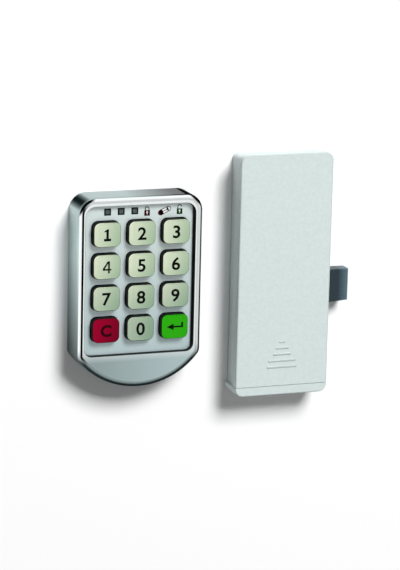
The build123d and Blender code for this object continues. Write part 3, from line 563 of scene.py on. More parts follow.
def grip_and_edge_painted_shade(colours):
    """The same ABS on the grip lines and the lid's rounded edge, smoother and painted greyer as painted shade.
    """
    # The greyer tone is painted shade; the lower roughness is the tool's smoother finish
    finish = Finish("pale_grey_abs_with_painted_shade", Roughness=0.45, IOR=1.4)
    finish.speckle(tint(colours.case, 0.82), 1.6, 0.95, 1.02, detail=3.0)
    return finish.material


def bolt_steel(colours):
    """Dark phosphated steel of the bolt."""
    # Phosphated steel is slate grey with a soft metallic sheen and fine lines along its length. Painted shade
    # darkens the bolt near the case, and painted light brightens its end
    finish = Finish("dark_phosphated_steel", Metallic=0.8)
    drawn_out = finish.add("Mapping", finish.place, Scale=(0.08, 1.0, 1.0))
    lines = finish.add("TexNoise", drawn_out, Scale=per_mm(0.3))
    # Painted shade near the case and painted light towards the end
    tone = finish.fade("X", 32.0, 36.5, tint(colours.bolt, 0.3), tint(colours.bolt, 1.15), unit=CASE)
    finish.give(Base_Color=finish.mottle(lines, tone, tint(colours.bolt, 0.25), 0.3))
    finish.texture(lines, (0.34, 0.48))
    return finish.material


def grained(name, code, size, contrast, relief=0.0, stretch=None, **inputs):
    """A material with a grain of some millimetres in its tone and its relief."""
    finish = Finish(name, **inputs)
    if stretch:
        finish.place = finish.add("Mapping", finish.place, Scale=stretch)
    grain = finish.speckle(linear(code), size, 1 - contrast, 1 + contrast, detail=3.0)
    finish.texture(grain, relief=relief)
    return finish.material


def zinc_plated_steel():
    """Zinc-plated steel of the back plate, the screws and the battery contacts."""
    # Passivated zinc is a cool light grey with large faint crystals
    return grained("zinc_plated_steel", "C3C8C8", 3.0, 0.08, Metallic=1.0, Roughness=0.32)


def turned_brass():
    """Machined brass of the gearbox, the pinion and the inserts."""
    # Brass is warm yellow, with the tool's fine lines dulling its shine
    return grained("machined_brass", "D9B66A", 0.3, 0.08, 0.004, (1.0, 0.1, 1.0), Metallic=1.0, Roughness=0.3)


def drawn_steel():
    """Drawn and nickelled steel of the motor's can."""
    # Drawing leaves faint lines along the can under a bright plating
    along = (1.0, 0.06, 1.0)
    return grained("drawn_nickelled_steel", "C9C6BE", 0.3, 0.06, 0.003, along, Metallic=1.0, Roughness=0.25)


def black_abs():
    """Black moulded ABS of the buzzer, the switch and the motor's end cap."""
    # Fine tool texture leaves the black slightly grey
    return grained("black_moulded_abs", "17191A", 0.4, 0.2, 0.01, Roughness=0.5, IOR=1.53)


def socket_nylon():
    """Natural nylon of the cable sockets."""
    # Unfilled nylon is creamy and slightly waxy
    return grained("natural_moulded_nylon", "E4DECB", 0.8, 0.05, 0.005, Roughness=0.42, IOR=1.53)


def rack_acetal():
    """White acetal of the bolt's rack."""
    # Acetal is white, smooth and slightly waxy
    return grained("white_moulded_acetal", "E9EAE4", 0.8, 0.04, Roughness=0.35, IOR=1.48)


def mat_silicone():
    """Moulded silicone of the key mat and its domes."""
    # Silicone rubber is dull, grey and slightly dusty
    return grained("grey_moulded_silicone", "8E9492", 0.7, 0.08, 0.01, Roughness=0.62, IOR=1.41)


def seal_foam():
    """Closed-cell foam of the seal behind the keypad."""
    # Cut cells pit the surface, which is drawn at 0.5 mm so that it shows
    return grained("black_closed_cell_foam", "1C1D1E", 0.5, 0.35, 0.12, Roughness=0.9, IOR=1.4)


def chip_epoxy():
    """Moulded epoxy of the chips and small parts."""
    # Filled epoxy is a dull charcoal
    return grained("moulded_chip_epoxy", "222426", 0.3, 0.15, 0.005, Roughness=0.55, IOR=1.55)


def led_resin():
    """Milky resin of the light emitters."""
    # Diffusing resin is pale and a little see-through
    clear = {"Transmission_Weight": 0.15, "IOR": 1.54}
    return grained("milky_cast_resin", "DDE6D6", 0.5, 0.04, Roughness=0.25, **clear)


def lead_insulation(name, code):
    """Extruded PVC round a thin lead."""
    # Soft PVC is evenly coloured with a faint gloss
    return grained(name, code, 1.0, 0.08, Roughness=0.4, IOR=1.52)


def circuit_board():
    """Green solder mask over copper traces."""
    # Traces lie under the glossy mask as slightly lighter lines
    finish = Finish("green_solder_mask", Roughness=0.3, IOR=1.55, Coat_Weight=0.3)
    greens = [linear("14502F"), linear("185836"), linear("2B7C4C")]
    grid = {"Scale": per_mm(1.0), "Mortar_Size": 0.14, "Brick_Width": 3.2, "Row_Height": 1.1}
    tracks = finish.add("TexBrick", finish.place, *greens, **grid)
    finish.give(Base_Color=tracks)
    finish.texture(tracks.node.outputs["Fac"], relief=0.02)
    return finish.material


def cell_jacket(name, node):
    """Printed sleeve over the steel can of a cell, with bare steel at both ends."""
    # The sleeve is slate blue with a copper band near one end, and only the ends shine as steel
    low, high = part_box(node)
    bare_end, band_start = 1.6 * MM, 12 * MM
    finish = Finish(name, Roughness=0.28, IOR=1.5)
    finish.place = finish.add("VectorMath", finish.place, -(low + high) / 2, operation="ADD")
    along = finish.add("SeparateXYZ", finish.place, output="Y")
    reach = finish.add("Math", along, operation="ABSOLUTE")
    bare = finish.add("Math", reach, (high.y - low.y) / 2 - bare_end, operation="GREATER_THAN")
    banded = finish.add("Math", along, band_start, operation="GREATER_THAN")
    sleeve = finish.add("Mix", banded, linear("27333D"), linear("B2774A"), data_type="RGBA")
    scuffs = finish.add("TexNoise", finish.place, Scale=per_mm(2.0), Detail=4.0)
    sleeve = finish.mottle(scuffs, sleeve, linear("8A9399"), 0.12)
    finish.give(Base_Color=finish.add("Mix", bare, sleeve, linear("C6C8C6"), data_type="RGBA"), Metallic=bare)
    return finish.material


# Pieces of the keypad unit


def shield_face(bm, low, high, z, sizes):
    """Flat face with the housing's outline: straight top, straight sides and an arc for its foot."""
    half = (high.x - low.x) / 2
    radius = sizes.foot_radius
    centre = Vector(((low.x + high.x) / 2, low.y + radius, z))
    half_angle = math.asin(half / radius)
    start = bm.verts.new(centre + Vector((half, -radius * math.cos(half_angle), 0)))
    bmesh.ops.spin(
        bm, geom=[start], cent=centre, axis=(0, 0, -1), angle=2 * half_angle, steps=40, use_duplicate=False
    )
    arc = bm.verts[:]
    last = arc[-1]
    top = [bm.verts.new((x, high.y, z)) for x in (low.x, high.x)]
    face = round_corners(bm, bm.faces.new(arc + top), top, sizes.top_corner, segments=12)
    side_turn = math.pi / 2 - half_angle
    return round_corners(bm, face, [v for v in (start, last) if v.is_valid], sizes.side_corner, side_turn, 4)


def key_opening(bm, name, z, sizes, wider=0.0):
    """Flat face with the outline of a key's opening."""
    centre = middle(f"key_{name}")
    gap = sizes.key_gap + wider
    half = Vector((sizes.key_width / 2 + gap, sizes.key_length / 2 + gap, 0))
    return rounded_rectangle(bm, centre - half, centre + half, z, sizes.key_corner + gap)


class CABINETLOCK_OT_housing(bpy.types.Operator):
    """Add the cast housing of the keypad"""

    bl_idname = "cabinet_lock.housing"
    bl_label = "Keypad Housing"

    def execute(self, context):
        sizes, colours = context.scene.lock_sizes, context.scene.lock_colours
        low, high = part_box("keypad_housing")
        plate_low, plate_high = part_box("face_plate")
        gap = Vector((sizes.plate_gap, sizes.plate_gap, 0))
        web_top, web = plate_low.z, 1.5 * MM
        web_bottom = web_top - web
        front, edge, groove_shade, black = 1, 2, 3, 4
        bm = bmesh.new()
        foot = shield_face(bm, low, high, 0.0, sizes)
        top = raise_face(bm, foot, high.z - sizes.edge_round)
        # The first steps of the rounded edge still have the side's blasted finish
        round_edge(bm, top, sizes.edge_round, steps=8, finish=edge, bare_steps=4)
        # The groove is a ring with leaning sides, sunk into the rim just inside the rounded edge
        lean, shoulder = 0.03 * MM, 0.1 * MM
        inset(bm, top, sizes.groove_inset - sizes.edge_round, finish=edge)
        inset(bm, top, lean, -sizes.groove_depth, edge)
        # The groove's floor and inner side get the groove's painted shade
        inset(bm, top, sizes.groove_width - 2 * lean, finish=groove_shade)
        inset(bm, top, lean, sizes.groove_depth, groove_shade)
        inset(bm, top, shoulder, finish=front)
        rim = open_face(bm, top)
        # Recess for the face plate, with a small round at its edge
        recess_edge = 0.15 * MM
        corner, foot_corner = sizes.recess_corner, sizes.recess_foot_corner
        recess = rounded_rectangle(bm, plate_low - gap, plate_high + gap, high.z, corner, foot_corner)
        fill_flat(bm, rim + list(recess.edges), finish=front)
        # The recess's walls get the near-black painted shade
        round_edge(bm, recess, recess_edge, steps=3, rise=-1, finish=black)
        inset(bm, recess, DRAFT, web_top + recess_edge - high.z, black)
        recess_floor = open_face(bm, recess)
        # Web with its openings for the keys
        openings = []
        for name in KEY_NAMES:
            openings += open_face(bm, key_opening(bm, name, web_top, sizes))
        fill_flat(bm, recess_floor + openings)
        lower_openings = lower_ring(bm, openings, web)
        # Foot of the wall, and its inner side up to the web
        inset(bm, foot, sizes.wall)
        inset(bm, foot, DRAFT, web_bottom)
        fill_flat(bm, open_face(bm, foot) + lower_openings)
        finishes = [wall_chrome(colours), satin_chrome(colours), edge_chrome(colours)]
        finishes += [groove_painted_shade(colours), recess_painted_shade()]
        add_piece("housing_casting", bm, finishes, "root", "zinc_casting", ["keypad_housing"])
        return {"FINISHED"}


class CABINETLOCK_OT_face_plate(bpy.types.Operator):
    """Add the silver face plate in its recess"""

    bl_idname = "cabinet_lock.face_plate"
    bl_label = "Face Plate"

    def execute(self, context):
        sizes, colours = context.scene.lock_sizes, context.scene.lock_colours
        low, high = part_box("face_plate")
        edge = 0.12 * MM
        thickness = high.z - low.z
        corner, foot_corner = (r - sizes.plate_gap for r in (sizes.recess_corner, sizes.recess_foot_corner))
        bm = bmesh.new()
        bottom = rounded_rectangle(bm, low, high, low.z, corner, foot_corner)
        top = raise_face(bm, bottom, thickness - edge)
        round_edge(bm, top, edge, steps=2)
        rim = open_face(bm, top)
        under_rim = open_face(bm, bottom)
        holes = [key_opening(bm, name, high.z, sizes, edge) for name in KEY_NAMES]
        reach = sizes.window / 2 + edge
        half, window_corner = Vector((reach, reach, 0)), 0.1 * MM
        for place in window_places():
            holes.append(rounded_rectangle(bm, place - half, place + half, high.z, edge + window_corner))
        fill_flat(bm, rim + [hole_edge for face in holes for hole_edge in face.edges])
        feet = []
        for face in holes:
            round_edge(bm, face, edge, steps=2, rise=-1)
            inset(bm, face, DRAFT, edge - thickness)
            feet += open_face(bm, face)
        fill_flat(bm, under_rim + feet)
        add_piece("silver_face_plate", bm, [painted_plate(colours)], "root", "silver_plate", ["face_plate"])
        return {"FINISHED"}


def window_places():
    """Centres of the three status windows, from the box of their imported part."""
    low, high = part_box("status_windows")
    half = (high.y - low.y) / 2
    return [Vector((x, low.y + half, high.z)) for x in (low.x + half, (low.x + high.x) / 2, high.x - half)]


def dish_face(bm, centre, top, sizes):
    """Hollow a key's face across its width, deepest along its middle."""
    half = sizes.key_width / 2 - sizes.key_edge
    cuts = 10
    for index in range(1, cuts):
        level = [f for f in bm.faces if abs(f.calc_center_median().z - top) < LEVEL_REACH]
        edges = {e for f in level for e in f.edges}
        verts = {v for f in level for v in f.verts}
        slice_at(bm, [*level, *edges, *verts], centre.x - half + 2 * half * index / cuts)
    for vert in bm.verts:
        across = (vert.co.x - centre.x) / half
        if abs(vert.co.z - top) < LEVEL_REACH and abs(across) < 1:
            vert.co.z -= sizes.key_dish * (1 - across**2)


class CABINETLOCK_OT_keys(bpy.types.Operator):
    """Add the twelve key caps"""

    bl_idname = "cabinet_lock.keys"
    bl_label = "Key Caps"

    def execute(self, context):
        sizes, colours = context.scene.lock_sizes, context.scene.lock_colours
        # The lacquers' light and deep tones are painted light and painted shade across each face
        thin, deep, red, green = colours.key_lit, colours.key_shaded, colours.red, colours.green
        champagne = key_lacquer("champagne_metallic_lacquer", thin, deep, foot_shade_share=0.42, gloss=0.2)
        crimson = key_lacquer("crimson_metallic_lacquer", red, tint(red, 0.34))
        leaf_green = key_lacquer("green_metallic_lacquer", tint(green, 1.1), tint(green, 0.95))
        special = {"c": (crimson, "key_red"), "enter": (leaf_green, "key_green")}
        moulding = key_side_painted_shade(colours)
        for name in KEY_NAMES:
            node = f"key_{name}"
            lacquer, slot = special.get(name, (champagne, "key_metallic"))
            add_piece(f"cap_{name}", self.cap(node, sizes), [lacquer, moulding], node, slot, [node])
        return {"FINISHED"}

    def cap(self, node, sizes):
        """Mesh of one cap: a flange, a body with a rounded and dished face, and a hollow from below."""
        low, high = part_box(node)
        centre = middle(node)
        half = Vector((sizes.key_width / 2, sizes.key_length / 2, 0))
        flange_top, side, roof = low.z + 0.9 * MM, 2.2 * MM, 2.4 * MM
        # Finish for the sides, whose near-black tone is painted shade
        bare = 1
        bm = bmesh.new()
        flange = rounded_rectangle(bm, low, high, low.z, sizes.key_corner)
        shoulder = open_face(bm, raise_face(bm, flange, flange_top - low.z))
        cap = rounded_rectangle(bm, centre - half, centre + half, flange_top, sizes.key_corner)
        fill_flat(bm, shoulder + list(cap.edges))
        top = raise_face(bm, cap, high.z - sizes.key_edge - flange_top)
        open_face(bm, cap)
        for face in bm.faces:
            face.material_index = bare
        top.material_index = 0
        round_edge(bm, top, sizes.key_edge, steps=6, finish=0, bare_steps=3, bare_finish=bare)
        inset(bm, flange, side)
        inset(bm, flange, DRAFT, high.z - low.z - roof, bare)
        flange.material_index = bare
        dish_face(bm, centre, high.z, sizes)
        spot = bm.loops.layers.uv.new("UVMap")
        for face in bm.faces:
            for loop in face.loops:
                loop[spot].uv = [(loop.vert.co[i] - low[i]) / (high[i] - low[i]) for i in (0, 1)]
        return bm


# Printing on the keypad


def thicken(bm, faces, depth):
    """Give flat faces a thickness below them."""
    made = bmesh.ops.extrude_face_region(bm, geom=faces, use_keep_orig=True)["geom"]
    verts = [item for item in made if isinstance(item, bmesh.types.BMVert)]
    bmesh.ops.translate(bm, verts=verts, vec=(0, 0, -depth))


def figure_mesh(text, weight):
    """A flat mesh of some text at the font's own size, with its strokes drawn thicker by a weight."""
    curve = bpy.data.curves.new("figure", "FONT")
    curve.body = text
    curve.offset = weight
    curve.resolution_u = 6
    holder = bpy.data.objects.new("figure", curve)
    bpy.context.scene.collection.objects.link(holder)
    mesh = bpy.data.meshes.new_from_object(holder)
    bpy.data.objects.remove(holder)
    return mesh


def extent(mesh):
    """Lower and upper corner of a flat mesh."""
    spots = [(v.co.x, v.co.y, 0) for v in mesh.vertices]
    return (Vector(pick(axis) for axis in zip(*spots)) for pick in (min, max))


def bend(bm, place, sizes):
    """Slice a figure lengthwise and lay it on the hollow face of its key."""
    half = sizes.key_width / 2 - sizes.key_edge
    for step in range(-4, 5):
        slice_at(bm, [*bm.verts, *bm.edges, *bm.faces], step * MM)
    bmesh.ops.translate(bm, verts=bm.verts, vec=place)
    for vert in bm.verts:
        across = (vert.co.x - place.x) / half
        vert.co.z += sizes.key_dish * across**2


def figure_one(bm, height):
    """The figure 1 with a flag at its head and a foot."""
    half, stroke = height / 2, 1.25 * MM
    foot, flag = 1.8 * MM, 1.55 * MM
    stem = stroke / 2
    points = [
        (-foot, -half), (foot, -half), (foot, stroke - half), (stem, stroke - half),
        (stem, half), (stem - 0.7 * MM, half), (-flag, half - 0.85 * MM), (-flag, half - 1.6 * MM),
        (-stem, half - 1.2 * MM), (-stem, stroke - half), (-foot, stroke - half),
    ]
    face_of(bm, points)


def figure_four(bm, height):
    """The figure 4 with an open counter."""
    half = height / 2
    left, right, arm_low, arm_high = -2.2 * MM, 2.2 * MM, -1.6 * MM, -0.8 * MM
    stem_left, stem_right = 0.5 * MM, 1.4 * MM
    outline = [
        (left, arm_low), (stem_left, arm_low), (stem_left, -half), (stem_right, -half), (stem_right, arm_low),
        (right, arm_low), (right, arm_high), (stem_right, arm_high), (stem_right, half), (0.3 * MM, half),
        (left, arm_high + 0.15 * MM),
    ]
    counter = [(stem_left, arm_high), (stem_left, half - 1.15 * MM), (-1.2 * MM, arm_high)]
    edges = []
    for points in (outline, counter):
        edges += open_face(bm, face_of(bm, points))
    fill_flat(bm, edges)


def enter_arrow(bm):
    """The enter sign: an arrow to the left with a hook up at its right end."""
    tip, neck, end = -4.2 * MM, -0.6 * MM, 4.35 * MM
    head, shaft, rise, hook = 1.6 * MM, 0.42 * MM, 2.2 * MM, 1.0 * MM
    points = [
        (tip, 0), (neck, -head), (neck, -shaft), (end, -shaft), (end, rise), (end - hook, rise),
        (end - hook, shaft), (neck, shaft), (neck, head),
    ]
    face_of(bm, points)


class CABINETLOCK_OT_figures(bpy.types.Operator):
    """Print the figures on the keys"""

    bl_idname = "cabinet_lock.figures"
    bl_label = "Key Figures"

    def execute(self, context):
        sizes, colours = context.scene.lock_sizes, context.scene.lock_colours
        black = printing_ink("black_key_ink", colours.figure)
        inks = {
            "c": printing_ink("dark_red_key_ink", linear("260008")),
            "enter": printing_ink("dark_green_key_ink", linear("020C01")),
        }
        # The figures stand a little off the middle of the faces and reach down below their deepest line
        offset, depth = Vector((0, -0.15 * MM, 0)), 4 * sizes.ink
        # Corners of a letter's outline that are closer than this share of the font's size are one corner
        same_corner = 1e-4
        low, high = extent(figure_mesh("7", 0.0))
        scale, widening = sizes.figure_height / (high.y - low.y), 1.06
        drawn = {"1": figure_one, "4": figure_four}
        for name in KEY_NAMES:
            bm = bmesh.new()
            if name == "enter":
                enter_arrow(bm)
            elif name in drawn:
                drawn[name](bm, sizes.figure_height)
            else:
                # The letter is smaller and heavier than the figures
                size, weight = (0.9 * scale, 0.034) if name == "c" else (scale, 0.022)
                mesh = figure_mesh(name.upper(), weight)
                low, high = extent(mesh)
                bm.from_mesh(mesh)
                bpy.data.meshes.remove(mesh)
                bmesh.ops.remove_doubles(bm, verts=bm.verts, dist=same_corner)
                bmesh.ops.translate(bm, verts=bm.verts, vec=-(low + high) / 2)
                bmesh.ops.scale(bm, verts=bm.verts, vec=(widening * size, size, 1))
            thicken(bm, bm.faces[:], depth)
            place = middle(f"key_{name}") + offset
            place.z = KEY_TOP - sizes.key_dish + sizes.ink
            bend(bm, place, sizes)
            add_piece(f"figure_{name}", bm, [inks.get(name, black)], f"key_{name}")
        self.add_pip(sizes, offset)
        return {"FINISHED"}

    def add_pip(self, sizes, offset):
        """Raised pip that marks the middle key."""
        radius, flatness = 0.5 * MM, 0.26
        bm = bmesh.new()
        bmesh.ops.create_uvsphere(bm, u_segments=20, v_segments=10, radius=radius)
        bmesh.ops.scale(bm, verts=bm.verts, vec=(1, 1, flatness))
        place = middle("key_5") + offset + Vector((-0.1 * MM, -0.75 * MM, 0))
        place.z = KEY_TOP - sizes.key_dish + 2 * sizes.ink
        bmesh.ops.translate(bm, verts=bm.verts, vec=place)
        add_piece("pip_5", bm, [printing_ink("white_pip_ink", linear("F2F5EA"))], "key_5")


def disc(bm, centre, radius, segments=24):
    """Flat round face."""
    turn = Matrix.Translation((*centre, 0))
    bmesh.ops.create_circle(bm, cap_ends=True, radius=radius, segments=segments, matrix=turn)


def ring_part(bm, centre, inner, outer, start, turn, steps=10):
    """Flat part of a ring that starts at an angle and turns on from there."""
    ray = Vector((math.cos(start), math.sin(start), 0))
    hub = Vector((*centre, 0))
    verts = [bm.verts.new(hub + ray * radius) for radius in (inner, outer)]
    edge = bm.edges.new(verts)
    bmesh.ops.spin(
        bm, geom=[*verts, edge], cent=hub, axis=(0, 0, 1), angle=turn, steps=steps, use_duplicate=False
    )


def print_shapes(bm, layers, ink):
    """Make flat shapes layer by layer, each a little higher and in the next ink, and sunk into the plate."""
    sunk = ink / 2
    for index, shapes in enumerate(layers):
        known, height = set(bm.faces), (index + 1) * ink
        for shape, *sizes in shapes:
            shape(bm, *sizes)
        made = new_since(bm, known)
        verts = {v for f in made for v in f.verts}
        bmesh.ops.translate(bm, verts=list(verts), vec=(0, 0, height))
        thicken(bm, made, height + sunk)
        for face in new_since(bm, known):
            face.material_index = index


def bar(bm, low, high):
    """Flat rectangle between two corners."""
    rounded_rectangle(bm, low, high, 0.0)


class CABINETLOCK_OT_signs(bpy.types.Operator):
    """Print the two padlocks and the battery above the keys"""

    bl_idname = "cabinet_lock.signs"
    bl_label = "Printed Signs"

    def execute(self, context):
        sizes = context.scene.lock_sizes
        red = printing_ink("dark_red_sign_ink", linear("2C0008"))
        green = printing_ink("dark_green_sign_ink", linear("013008"))
        white = printing_ink("white_sign_ink", linear("F0F2F0"))
        grey = printing_ink("grey_sign_ink", linear("1A2022"))
        lean, cell_inks = math.radians(25), [grey, white, grey, red]
        self.add_sign("closed_padlock", (3.88, 33.6), 0, self.padlock(True), [red, white], sizes)
        self.add_sign("battery_sign", (12.8, 33.7), lean, self.battery(), cell_inks, sizes)
        self.add_sign("open_padlock", (20.74, 33.7), 0, self.padlock(False), [green, white], sizes)
        return {"FINISHED"}

    def padlock(self, closed):
        """Shapes of a padlock whose shackle is shut, or swung up with its right leg free."""
        half, top = 1.45 * MM, 0.75 * MM
        outer, inner, leg = 1.15 * MM, 0.72 * MM, 0.75 * MM
        lift = 0.0 if closed else 0.25 * MM
        arch = top + leg + lift
        shackle = [
            (ring_part, (0, arch), inner, outer, 0, math.pi),
            (bar, (-outer, top), (-inner, arch)),
        ]
        if closed:
            shackle.append((bar, (inner, top), (outer, arch)))
        body = [(bar, (-half, -2.05 * MM), (half, top))]
        keyhole = [(disc, (0, -0.25 * MM), 0.48 * MM), (bar, (-0.2 * MM, -1.35 * MM), (0.2 * MM, -0.25 * MM))]
        return [body + shackle, keyhole]

    def battery(self):
        """Shapes of a battery lying on its side: a grey outline, a white body, grey lines and a red end."""
        start, end, half, line = -0.9 * MM, 2.3 * MM, 1.35 * MM, 0.34 * MM
        cap, cap_half = -2.1 * MM, 1.35 * MM
        outline = [(bar, (start, -half), (end, half)), (disc, (end, 0), half)]
        body = [(bar, (start, line - half), (end, half - line)), (disc, (end, 0), half - line)]
        lines = [(bar, (start, -line / 2), (end, line / 2))]
        red_end = [(bar, (cap, -cap_half), (start, cap_half)), (disc, (cap, 0), cap_half)]
        return [outline, body, lines, red_end]

    def add_sign(self, name, place, turn, layers, inks, sizes):
        """Print one sign on the face plate, at millimetres from the keypad's middle."""
        bm = bmesh.new()
        print_shapes(bm, layers, sizes.ink)
        bmesh.ops.rotate(bm, verts=bm.verts, cent=(0, 0, 0), matrix=Matrix.Rotation(turn, 3, "Z"))
        shift = KEYPAD + Vector((place[0] * MM, place[1] * MM, FACE_TOP))
        bmesh.ops.translate(bm, verts=bm.verts, vec=shift)
        add_piece(name, bm, inks, "root")


class CABINETLOCK_OT_windows(bpy.types.Operator):
    """Add the three status windows"""

    bl_idname = "cabinet_lock.windows"
    bl_label = "Status Windows"

    def execute(self, context):
        low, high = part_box("status_windows")
        half = (high.y - low.y) / 2
        edge, border, sunk = 0.1 * MM, 0.5 * MM, 0.03 * MM
        corner = Vector((half, half, 0))
        bm = bmesh.new()
        for place in window_places():
            foot = rounded_rectangle(bm, place - corner, place + corner, low.z)
            top = raise_face(bm, foot, high.z - low.z - edge)
            round_edge(bm, top, edge, steps=2)
            inset(bm, top, border)
            inset(bm, top, sunk, -sunk)
            top.material_index = 1
        glass = [printing_ink("black_window_border", linear("010202")), smoked_window()]
        add_piece("status_window_glass", bm, glass, "root", "dark_window", ["status_windows"])
        return {"FINISHED"}


# Pieces of the bolt unit


class CABINETLOCK_OT_battery_cover(bpy.types.Operator):
    """Add the sliding battery cover with its grip lines and hooks"""

    bl_idname = "cabinet_lock.battery_cover"
    bl_label = "Battery Cover"

    def execute(self, context):
        sizes, colours = context.scene.lock_sizes, context.scene.lock_colours
        plastic = case_plastic(colours)
        # The grip lines and the lid's rounded edge get a greyer tone as painted shade
        smooth = grip_and_edge_painted_shade(colours)
        self.add_lid(sizes, plastic, smooth)
        self.add_grips(sizes, smooth)
        self.add_hooks(sizes, plastic)
        return {"FINISHED"}

    def add_lid(self, sizes, plastic, smooth):
        """The lid is shaped longer than it is, and cut off at the seam to leave that end open."""
        low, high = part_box("battery_cover")
        surplus = 3 * MM
        start = Vector((low.x, low.y - surplus, low.z))
        bm = bmesh.new()
        foot = rounded_rectangle(bm, start, high, low.z, sizes.case_corner, 0.0)
        top = raise_face(bm, foot, CASE_TOP - low.z - sizes.case_edge)
        round_edge(bm, top, sizes.case_edge, finish=1)
        inset(bm, foot, sizes.skirt_wall, 0)
        inset(bm, foot, DRAFT, CASE_TOP - low.z - sizes.cover_wall)
        geometry, seam = [*bm.verts, *bm.edges, *bm.faces], low.y + 0.2 * MM
        cut = bmesh.ops.bisect_plane(
            bm, geom=geometry, plane_co=(0, seam, 0), plane_no=(0, 1, 0), dist=CUT_REACH, clear_inner=True
        )["geom_cut"]
        fill_flat(bm, [e for e in cut if isinstance(e, bmesh.types.BMEdge)], normal=(0, -1, 0))
        add_piece("battery_lid", bm, [plastic, smooth], "cover", "white_moulding", ["battery_cover"])

    def add_grips(self, sizes, plastic):
        """Raised lines that give a thumb its hold."""
        bm = bmesh.new()
        half_width, sunk, edge = sizes.grip_width / 2, 0.1 * MM, 0.2 * MM
        for y, reach in GRIP_LINES:
            centre = Vector((CASE.x, CASE.y + y * MM, 0))
            half = Vector((reach * MM / 2, half_width, 0))
            low, high = centre - half, centre + half
            low.z, high.z = CASE_TOP - sunk, CASE_TOP + sizes.grip_height
            block(bm, low, high, half_width - DRAFT, edge)
        add_piece("grip_lines", bm, [plastic], "cover", "white_moulding")

    def add_hooks(self, sizes, plastic):
        """Four hooks inside the skirt that run in the base's grooves."""
        cover_low, cover_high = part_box("battery_cover")
        half_base, overlap, half_hook, row = 23.25 * MM, 0.65 * MM, 4 * MM, 30 * MM
        foot, head = 12.95 * MM, 13.85 * MM
        tip = half_base - overlap
        root = (cover_high.x - cover_low.x) / 2 - sizes.skirt_wall / 2
        bm = bmesh.new()
        for side in (-1, 1):
            near, far = sorted((CASE.x + side * tip, CASE.x + side * root))
            for y in (CASE.y - row, CASE.y + row):
                block(bm, (near, y - half_hook, foot), (far, y + half_hook, head))
        add_piece("cover_hooks", bm, [plastic], "cover", "white_moulding")


class CABINETLOCK_OT_bolt_unit(bpy.types.Operator):
    """Finish the base, the bolt, the drive and its boards"""

    bl_idname = "cabinet_lock.bolt_unit"
    bl_label = "Bolt Unit Parts"

    def execute(self, context):
        colours = context.scene.lock_colours
        dress(["lock_base", "motor_cradle"], case_plastic(colours))
        dress(["bolt"], bolt_steel(colours))
        dress(["bolt_rack"], rack_acetal())
        dress(["gearbox", "drive_pinion"], turned_brass())
        dress(["motor"], drawn_steel())
        dress(["motor_end_cap", "position_switch"], black_abs())
        dress(["lock_board"], circuit_board())
        dress(["lock_board_parts"], chip_epoxy())
        dress(["lock_cable_socket"], socket_nylon())
        steel = ["bolt_guide_plate", "guide_screws", "lock_board_screws", "rack_rivets", "output_shaft"]
        dress(steel + ["contact_plates", "contact_springs"], zinc_plated_steel())
        return {"FINISHED"}


class CABINETLOCK_OT_cells(bpy.types.Operator):
    """Finish the four cells"""

    bl_idname = "cabinet_lock.cells"
    bl_label = "Cells"

    def execute(self, context):
        for number in range(1, 5):
            node = f"battery_{number}"
            dress([node], cell_jacket(f"printed_sleeve_{number}", node))
        return {"FINISHED"}


class CABINETLOCK_OT_leads(bpy.types.Operator):
    """Colour the leads of the motor and the cells red and black"""

    bl_idname = "cabinet_lock.leads"
    bl_label = "Leads"

    def execute(self, context):
        red = lead_insulation("red_pvc_insulation", "B3201C")
        black = lead_insulation("black_pvc_insulation", "191A1B")
        for node in ("motor_leads", "battery_leads"):
            bm = bmesh.new()
            bm.from_mesh(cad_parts[node].data)
            bmesh.ops.remove_doubles(bm, verts=bm.verts, dist=LEVEL_REACH)
            self.colour_second(bm)
            add_piece(f"{node}_pair", bm, [red, black], "root", "lead_insulation", [node])
        return {"FINISHED"}

    def colour_second(self, bm):
        """Walk over one lead from any face of it, and give what is left the second colour."""
        reached, waiting = set(), [next(iter(bm.faces))]
        while waiting:
            face = waiting.pop()
            reached.add(face)
            waiting += [f for e in face.edges for f in e.link_faces if f not in reached]
        for face in bm.faces:
            face.material_index = int(face not in reached)


class CABINETLOCK_OT_keypad_parts(bpy.types.Operator):
    """Finish the mat, the board and the back of the keypad"""

    bl_idname = "cabinet_lock.keypad_parts"
    bl_label = "Keypad Parts"

    def execute(self, context):
        dress(["key_mat", "key_domes"], mat_silicone())
        dress(["keypad_board"], circuit_board())
        dress(["keypad_chips"], chip_epoxy())
        dress(["buzzer"], black_abs())
        dress(["keypad_cable_socket"], socket_nylon())
        dress(["status_lights"], led_resin())
        dress(["back_plate", "board_screws", "back_plate_screws"], zinc_plated_steel())
        dress(["foam_seal"], seal_foam())
        dress(["threaded_inserts"], turned_brass())
        return {"FINISHED"}


def dress(nodes, material):
    """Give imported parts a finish."""
    for node in nodes:
        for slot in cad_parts[node].material_slots:
            slot.material = material


# Stage


def aim(location, right, up, back):
    """Matrix of an object at a place whose axes point right, up and back."""
    turn = Matrix((right, up, back)).transposed().to_4x4()
    return Matrix.Translation(location) @ turn


